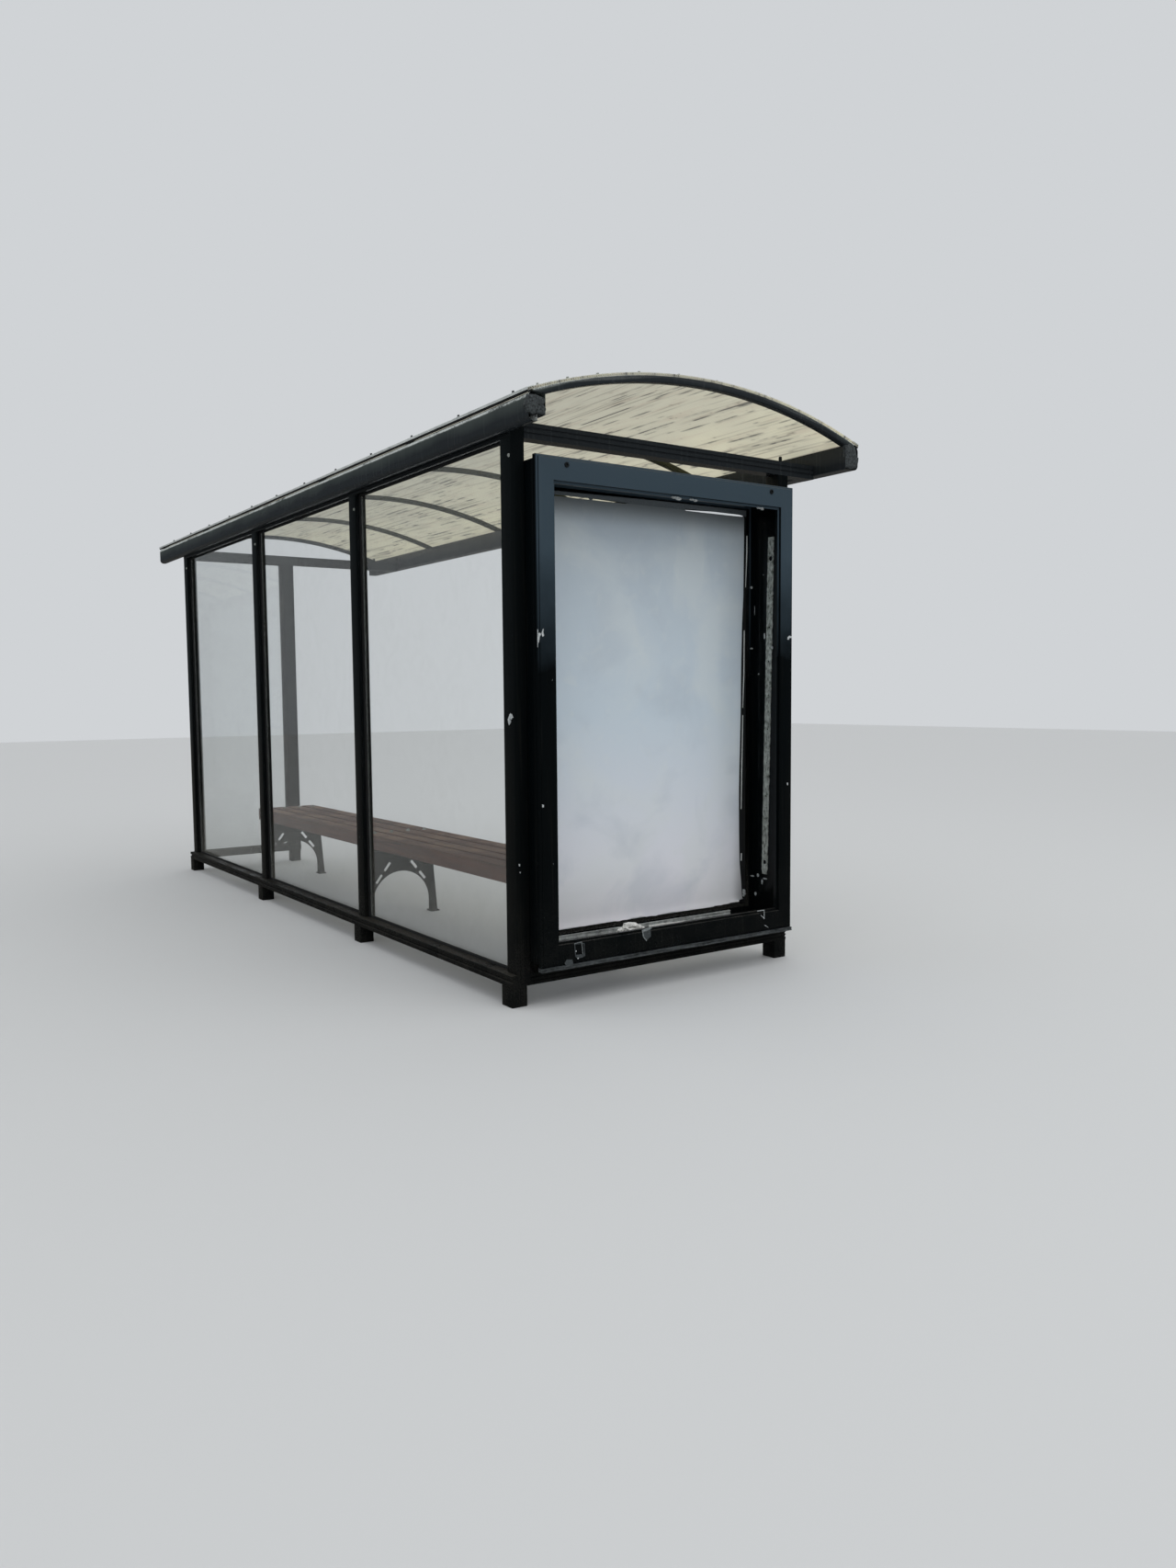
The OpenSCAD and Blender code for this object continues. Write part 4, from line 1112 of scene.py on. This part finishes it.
def stripTree():
    # one square cell with a round hole, repeated up the strip, joined and thickened
    tree, add, size = startTree("perforatedStripTree", strip)
    square = add("GeometryNodeCurvePrimitiveQuadrilateral", {"Width": size["Width"], "Height": size["Pitch"]})
    circle = add("GeometryNodeCurvePrimitiveCircle", {"Resolution": 16, "Radius": size["HoleRadius"]})
    cell = add("GeometryNodeJoinGeometry", {"Geometry": [square, circle]})
    cell = add("GeometryNodeFillCurve", {"Curve": cell})
    half = add("Math", (size["Pitch"], 0.5), operation="MULTIPLY")
    first, offset = (add("CombineXYZ", {"Y": up}) for up in (half, size["Pitch"]))
    line = add("GeometryNodeMeshLine", {"Count": size["Holes"], "Start Location": first, "Offset": offset})
    row = add("GeometryNodeInstanceOnPoints", {"Points": line, "Instance": cell})
    row = add("GeometryNodeRealizeInstances", {"Geometry": row})
    row = add("GeometryNodeMergeByDistance", {"Geometry": row, "Distance": 0.0001})
    raised = add("GeometryNodeExtrudeMesh", {"Mesh": row, "Offset Scale": size["Thickness"],
                                             "Individual": False})
    under = add("GeometryNodeFlipFaces", {"Mesh": row})
    plate = add("GeometryNodeJoinGeometry", {"Geometry": [raised, under]})
    plate = add("GeometryNodeMergeByDistance", {"Geometry": plate, "Distance": 0.0001})
    return endTree(tree, add, plate, stripZinc)


low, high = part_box("perforated_strip")
bm = bmesh.new()
bm.from_mesh(growMesh(stripTree(), strip))
# drawn flat in X and Y, its long edges frayed, stood up on the side wall, cut to length and leant a little
longEdges = [e for e in bm.edges if abs(e.verts[0].co.x - e.verts[1].co.x) < 1e-6
             and abs(e.verts[0].co.y - e.verts[1].co.y) > strip["Pitch"] * 0.9]
bmesh.ops.subdivide_edges(bm, edges=longEdges, cuts=stripPlace["cuts"])
for v in bm.verts:
    across, up, out = v.co
    cell = min(int(up / strip["Pitch"]), strip["Holes"] - 1)
    centre = (cell + 0.5) * strip["Pitch"]
    if math.hypot(across, up - centre) < strip["HoleRadius"] * 1.1:
        across *= stripPlace["holeScale"][cell]
        up = centre + (up - centre) * stripPlace["holeScale"][cell]
    z = max(stripPlace["firstHole"] + up - strip["Pitch"] / 2, stripPlace["low"])
    if up > strip["Pitch"] * strip["Holes"] - 0.001:
        z = stripPlace["high"]
    lean = stripPlace["lean"] * (z - (low.z + high.z) / 2)
    if abs(across) > strip["Width"] * 0.45:
        wide, tall = stripPlace["raggedWaves"]
        across += stripPlace["ragged"] * noise.noise(Vector((z * tall, across * wide, 3)))
        across *= stripPlace["footNarrow"] if z < stripPlace["low"] + stripPlace["footHigh"] else 1
    v.co = ((low.x + high.x) / 2 + across - lean, low.y + out, z)
finishPiece("perforatedStrip", bm, stripZinc, "zinc_steel", "perforated_strip", smooth=20)

locks = {"radius": 0.010, "bevel": 0.001, "socket": 0.0042, "socketBevel": 0.0006, "depth": 0.0035,
         "sides": 24}


def addLock(bm, y, z, back, front, look):
    # round plug with a hexagonal key socket
    rings = []
    for radius, x, hexagon in ((look["radius"], back, False), (look["radius"], front + look["bevel"], False),
                               (look["radius"] - look["bevel"], front, False),
                               (look["socket"] + look["socketBevel"], front, True),
                               (look["socket"], front + look["socketBevel"], True),
                               (look["socket"], front + look["depth"], True)):
        ring = []
        for i in range(look["sides"]):
            a = math.tau * i / look["sides"]
            r = radius / math.cos((a + math.pi / 6) % (math.pi / 3) - math.pi / 6) if hexagon else radius
            ring.append((x, y + r * math.cos(a), z + r * math.sin(a)))
        rings.append(ring)
    made = addRings(bm, rings, closed=False)
    bm.faces.new(made[0])
    bm.faces.new(made[-1])


low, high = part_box("frame_locks")
bm = bmesh.new()
for y in (low.y + locks["radius"], high.y - locks["radius"]):
    addLock(bm, y, (low.z + high.z) / 2, high.x, low.x, locks)
finishPiece("doorLocks", bm, lockSteel, "zinc_steel", "frame_locks", smooth=30)
print("light box: case, frames, poster, ledge, strip and locks")

# face that a bit sits on, how far it stands out, roughness
doorChip, postChip, thickChip = (-2.447, 0.0006, 0.2), (-2.355, 0.0006, 0.2), (-2.4478, 0.0010, 0.2)
tapeRim, tapeBit = (-2.4474, 0.0010, 0.2), (-2.447, 0.0014, 0.15)
remains = {
    # each bit: outline in Y and Z, the three values above, seed
    "mountingFoamLump": (mountingFoam, "poster_paper", [
        ([(0.2601, 0.2063), (0.2430, 0.2208), (0.2160, 0.2245), (0.2189, 0.2373), (0.1914, 0.2395),
          (0.1568, 0.2338), (0.1430, 0.2222), (0.1115, 0.2098), (0.1046, 0.1948), (0.1640, 0.1940),
          (0.2193, 0.1927)], -2.2335, 0.012, 0.6, 2),
        ([(0.0850, 0.2130), (-0.0300, 0.2110), (-0.1084, 0.2060), (-0.1083, 0.2030), (-0.0300, 0.2030),
          (0.0850, 0.2040)], -2.2355, 0.0030, 0.3, 5)]),
    "scrapedPaintSpots": (bareSpots, "light_box_paint", [
        ([(0.7700, 1.4560), (0.7670, 1.4540), (0.7665, 1.4200), (0.7690, 1.3890), (0.7705, 1.3880)],
         *doorChip, 1),
        ([(0.7660, 1.4400), (0.7600, 1.4430), (0.7540, 1.4390), (0.7600, 1.4260), (0.7640, 1.4040),
          (0.7660, 1.4080)], *doorChip, 2),
        ([(0.7530, 1.4390), (0.7460, 1.4570), (0.7420, 1.4590), (0.7440, 1.4440), (0.7400, 1.4330),
          (0.7470, 1.4270)], *doorChip, 3),
        ([(0.7590, 0.7960), (0.7500, 0.7930), (0.7510, 0.7840), (0.7580, 0.7850)], *doorChip, 4),
        ([(-0.5288, 1.4446), (-0.5304, 1.4545), (-0.5399, 1.4613), (-0.5557, 1.4593), (-0.5547, 1.4508),
          (-0.5434, 1.4525), (-0.5378, 1.4436)], *doorChip, 5),
        ([(-0.5300, 0.8130), (-0.5380, 0.8120), (-0.5370, 0.8010), (-0.5310, 0.8030)], *doorChip, 6),
        ([(0.8100, 0.5620), (0.8030, 0.5610), (0.8040, 0.5520), (0.8090, 0.5530)], *postChip, 7),
        ([(0.8060, 0.5310), (0.8010, 0.5300), (0.8020, 0.5250), (0.8060, 0.5260)], *postChip, 8),
        ([(-0.3529, 0.2572), (-0.3970, 0.2561), (-0.3965, 0.2535), (-0.3535, 0.2548)], *doorChip, 9),
        ([(-0.3970, 0.2561), (-0.3972, 0.2150), (-0.3945, 0.2155), (-0.3945, 0.2555)], *doorChip, 10),
        ([(-0.3972, 0.2150), (-0.3750, 0.2341), (-0.3762, 0.2360), (-0.3980, 0.2180)], *doorChip, 11),
        ([(-0.3970, 0.1900), (-0.4200, 0.1760), (-0.4210, 0.1735), (-0.3975, 0.1870)], *doorChip, 12),
        ([(0.6030, 0.1830), (0.5980, 0.1830), (0.5980, 0.1785), (0.6030, 0.1780)], *thickChip, 13),
        ([(0.6120, 0.2135), (0.6080, 0.2135), (0.6080, 0.2085), (0.6120, 0.2080)], *thickChip, 14)]),
    "tapeEdges": (tapeEdge, "light_box_paint", [
        ([(0.2850, 0.2536), (0.2350, 0.2606), (0.2352, 0.2530), (0.2620, 0.2460), (0.2830, 0.2440)],
         *tapeRim, 15),
        ([(0.2830, 0.2440), (0.2790, 0.2230), (0.2745, 0.2230), (0.2785, 0.2440)], *tapeRim, 16),
        ([(0.2790, 0.2230), (0.2620, 0.2040), (0.2590, 0.2070), (0.2745, 0.2240)], *tapeRim, 17),
        ([(0.6183, 0.2423), (0.5816, 0.2451), (0.5816, 0.2425), (0.6183, 0.2397)], *tapeRim, 18),
        ([(0.5816, 0.2451), (0.5760, 0.1954), (0.5785, 0.1954), (0.5841, 0.2451)], *tapeRim, 19)]),
    "oldTapeAndGlue": (tapeGlue, "light_box_paint", [
        ([(0.6636, 0.1705), (0.6527, 0.1834), (0.6269, 0.1797), (0.6227, 0.1609), (0.6315, 0.1513),
          (0.6531, 0.1508)], -2.447, 0.0012, 0.1, 21),
        ([(0.6175, 0.2403), (0.6135, 0.2400), (0.6100, 0.1900), (0.6138, 0.1888)], *tapeBit, 22),
        ([(0.5730, 0.2380), (0.5696, 0.2376), (0.5657, 0.1857), (0.5700, 0.1850)], *tapeBit, 24),
        ([(0.6100, 0.1960), (0.5700, 0.1940), (0.5680, 0.1850), (0.5833, 0.1808), (0.6008, 0.1797),
          (0.6120, 0.1870)], *tapeBit, 25),
        ([(0.6140, 0.2400), (0.5700, 0.2376), (0.5700, 0.2355), (0.6140, 0.2375)], -2.447, 0.0010, 0.15, 26),
        ([(0.2820, 0.2300), (0.2790, 0.2500), (0.2390, 0.2560), (0.2390, 0.2204), (0.2620, 0.2060),
          (0.2760, 0.2220)], -2.447, 0.0008, 0.15, 23)]),
}
for name, (material, slot, bits) in remains.items():
    bm = bmesh.new()
    for bit in bits:
        addCrust(bm, *bit, step=0.002, grain=140)
    finishPiece(name, bm, material, slot, smooth=50)

lumps = {
    # roughness of a piece's lumps, then each lump: middle, half sizes, seed
    # chipped bit on the near post, dots and crumbs on the wall with the punched strip
    "foamCrumbs": (bareSpots, "light_box_paint", 0.6, [
        (-2.3310, 0.8215, 1.1290, 0.013, 0.004, 0.010, 51),
        (-2.3210, 0.8215, 1.1130, 0.008, 0.004, 0.013, 61),
        (-2.2117, -0.5335, 1.6903, 0.007, 0.002, 0.005, 62),
        (-2.2110, -0.5335, 1.4141, 0.010, 0.002, 0.003, 63),
        (-2.2333, -0.5340, 1.5850, 0.0014, 0.0008, 0.020, 64),
        (-2.2607, -0.5335, 1.2967, 0.004, 0.0015, 0.003, 65),
        (-2.3500, -0.5310, 1.4131, 0.005, 0.003, 0.007, 66),
        (-2.2990, -0.5320, 1.4671, 0.004, 0.002, 0.012, 67),
        (-2.224, -0.5320, 0.366, 0.011, 0.002, 0.003, 52),
        (-2.262, -0.5320, 0.374, 0.006, 0.002, 0.007, 53),
        (-2.290, -0.5320, 0.347, 0.004, 0.002, 0.011, 54),
        (-2.309, -0.5320, 0.364, 0.013, 0.002, 0.003, 55),
        (-2.246, -0.5320, 0.285, 0.006, 0.002, 0.007, 56),
        (-2.216, -0.4880, 0.290, 0.005, 0.008, 0.016, 57)]),
    # blisters of the foam on the ledge
    "foamBlisters": (mountingFoam, "poster_paper", 0.5, [
        (-2.2440, 0.242, 0.212, 0.008, 0.016, 0.008, 71),
        (-2.2450, 0.218, 0.219, 0.009, 0.015, 0.010, 72),
        (-2.2455, 0.192, 0.228, 0.009, 0.017, 0.010, 73),
        (-2.2450, 0.165, 0.222, 0.009, 0.016, 0.010, 74),
        (-2.2430, 0.142, 0.213, 0.007, 0.014, 0.009, 75),
        (-2.2440, 0.190, 0.208, 0.008, 0.030, 0.008, 76)]),
    # torn glazing seal left along the top of the door frame's opening
    "tornGlazingSeal": (sealRemains, "light_box_paint", 0.7, [
        (-2.437, 0.103, 2.002, 0.006, 0.011, 0.004, 31),
        (-2.437, 0.080, 2.000, 0.006, 0.012, 0.006, 32),
        (-2.437, 0.008, 2.002, 0.005, 0.012, 0.003, 34),
        (-2.437, -0.010, 2.000, 0.005, 0.008, 0.004, 35),
        (-2.437, -0.366, 2.001, 0.006, 0.013, 0.003, 37),
        (-2.437, -0.384, 1.999, 0.006, 0.006, 0.005, 38)]),
}
lumpShape = {"coarse": 2.1, "fine": 7, "fineRough": 0.12}


def addLump(bm, middle, half, seed, rough):
    for v in bmesh.ops.create_icosphere(bm, subdivisions=4, radius=1)["verts"]:
        coarse = noise.noise(v.co * lumpShape["coarse"] + Vector((seed, 0, 0)))
        fine = noise.noise(v.co * lumpShape["fine"] + Vector((0, seed, 0)))
        swell = 1 + rough * coarse + lumpShape["fineRough"] * fine
        v.co = Vector([m + h * c * swell for m, h, c in zip(middle, half, v.co)])


for name, (material, slot, rough, bits) in lumps.items():
    bm = bmesh.new()
    for *sizes, seed in bits:
        addLump(bm, sizes[:3], sizes[3:], seed, rough)
    finishPiece(name, bm, material, slot, smooth=60)
print("light box: remains and damage")

seat = {"beams": 4, "wide": 0.080, "corner": 0.007, "steps": 36, "warp": 0.0016, "swayWaves": 0.7,
        "sinkWaves": 0.9, "legCorner": 0.0012}
low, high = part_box("bench_seat")
gap = (high.y - low.y - seat["beams"] * seat["wide"]) / (seat["beams"] - 1)
seatPlaces = [low.y + i * (seat["wide"] + gap) for i in range(seat["beams"])]
bm = bmesh.new()
for i, y in enumerate(seatPlaces):
    part = bmesh.new()
    outline = [(y, low.z), (y + seat["wide"], low.z), (y + seat["wide"], high.z), (y, high.z)]
    addBar(part, outline, low.x, high.x, 0, seat["steps"])
    softenEdges(part, seat["corner"], 0)
    for v in part.verts:
        sway = noise.noise(Vector((v.co.x * seat["swayWaves"], i * 9.1, 2)))
        sink = abs(noise.noise(Vector((v.co.x * seat["sinkWaves"], i * 5.3, 7))))
        v.co.y += sway * seat["warp"]
        v.co.z -= sink * seat["warp"] * (v.co.z - low.z) / (high.z - low.z)
    holder = bpy.data.meshes.new("seatBeam")
    part.to_mesh(holder)
    part.free()
    bm.from_mesh(holder)
    bpy.data.meshes.remove(holder)
finishPiece("seatBeams", bm, benchTimber, "bench_timber", "bench_seat")

points = []
for node in ("bench_leg_1", "bench_leg_2", "bench_leg_3"):
    softenNode(node, "Plate", seat["legCorner"], frameCoat, "frame_paint", segments=2)
    legLow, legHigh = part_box(node)
    for y in seatPlaces:
        place = Vector(((legLow.x + legHigh.x) / 2, y + seat["wide"] / 2, high.z - screwLook["boltSunk"]))
        points.append((place, Vector((0, 0, 1))))
placeScrews("seatBolts", zincScrews, screwLook["bolt"], points)
print("bench: beams, legs and bolts")

points = []
for low, high in posts:
    place = Vector((low.x + screwLook["postInset"], high.y, screwLook["postHeight"]))
    points.append((place, Vector((0, 1, 0))))
placeScrews("postScrews", zincScrews, screwLook["button"], points)
points = []
for node in ("near_tie_beam", "far_tie_beam"):
    low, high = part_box(node)
    place = Vector(((low.x + high.x) / 2, screwLook["tiePlace"], high.z))
    points.append((place, Vector((0, 0, 1))))
placeScrews("tieBolts", darkScrews, screwLook["stud"], points)
print("fixings: post screws and tie bolts")
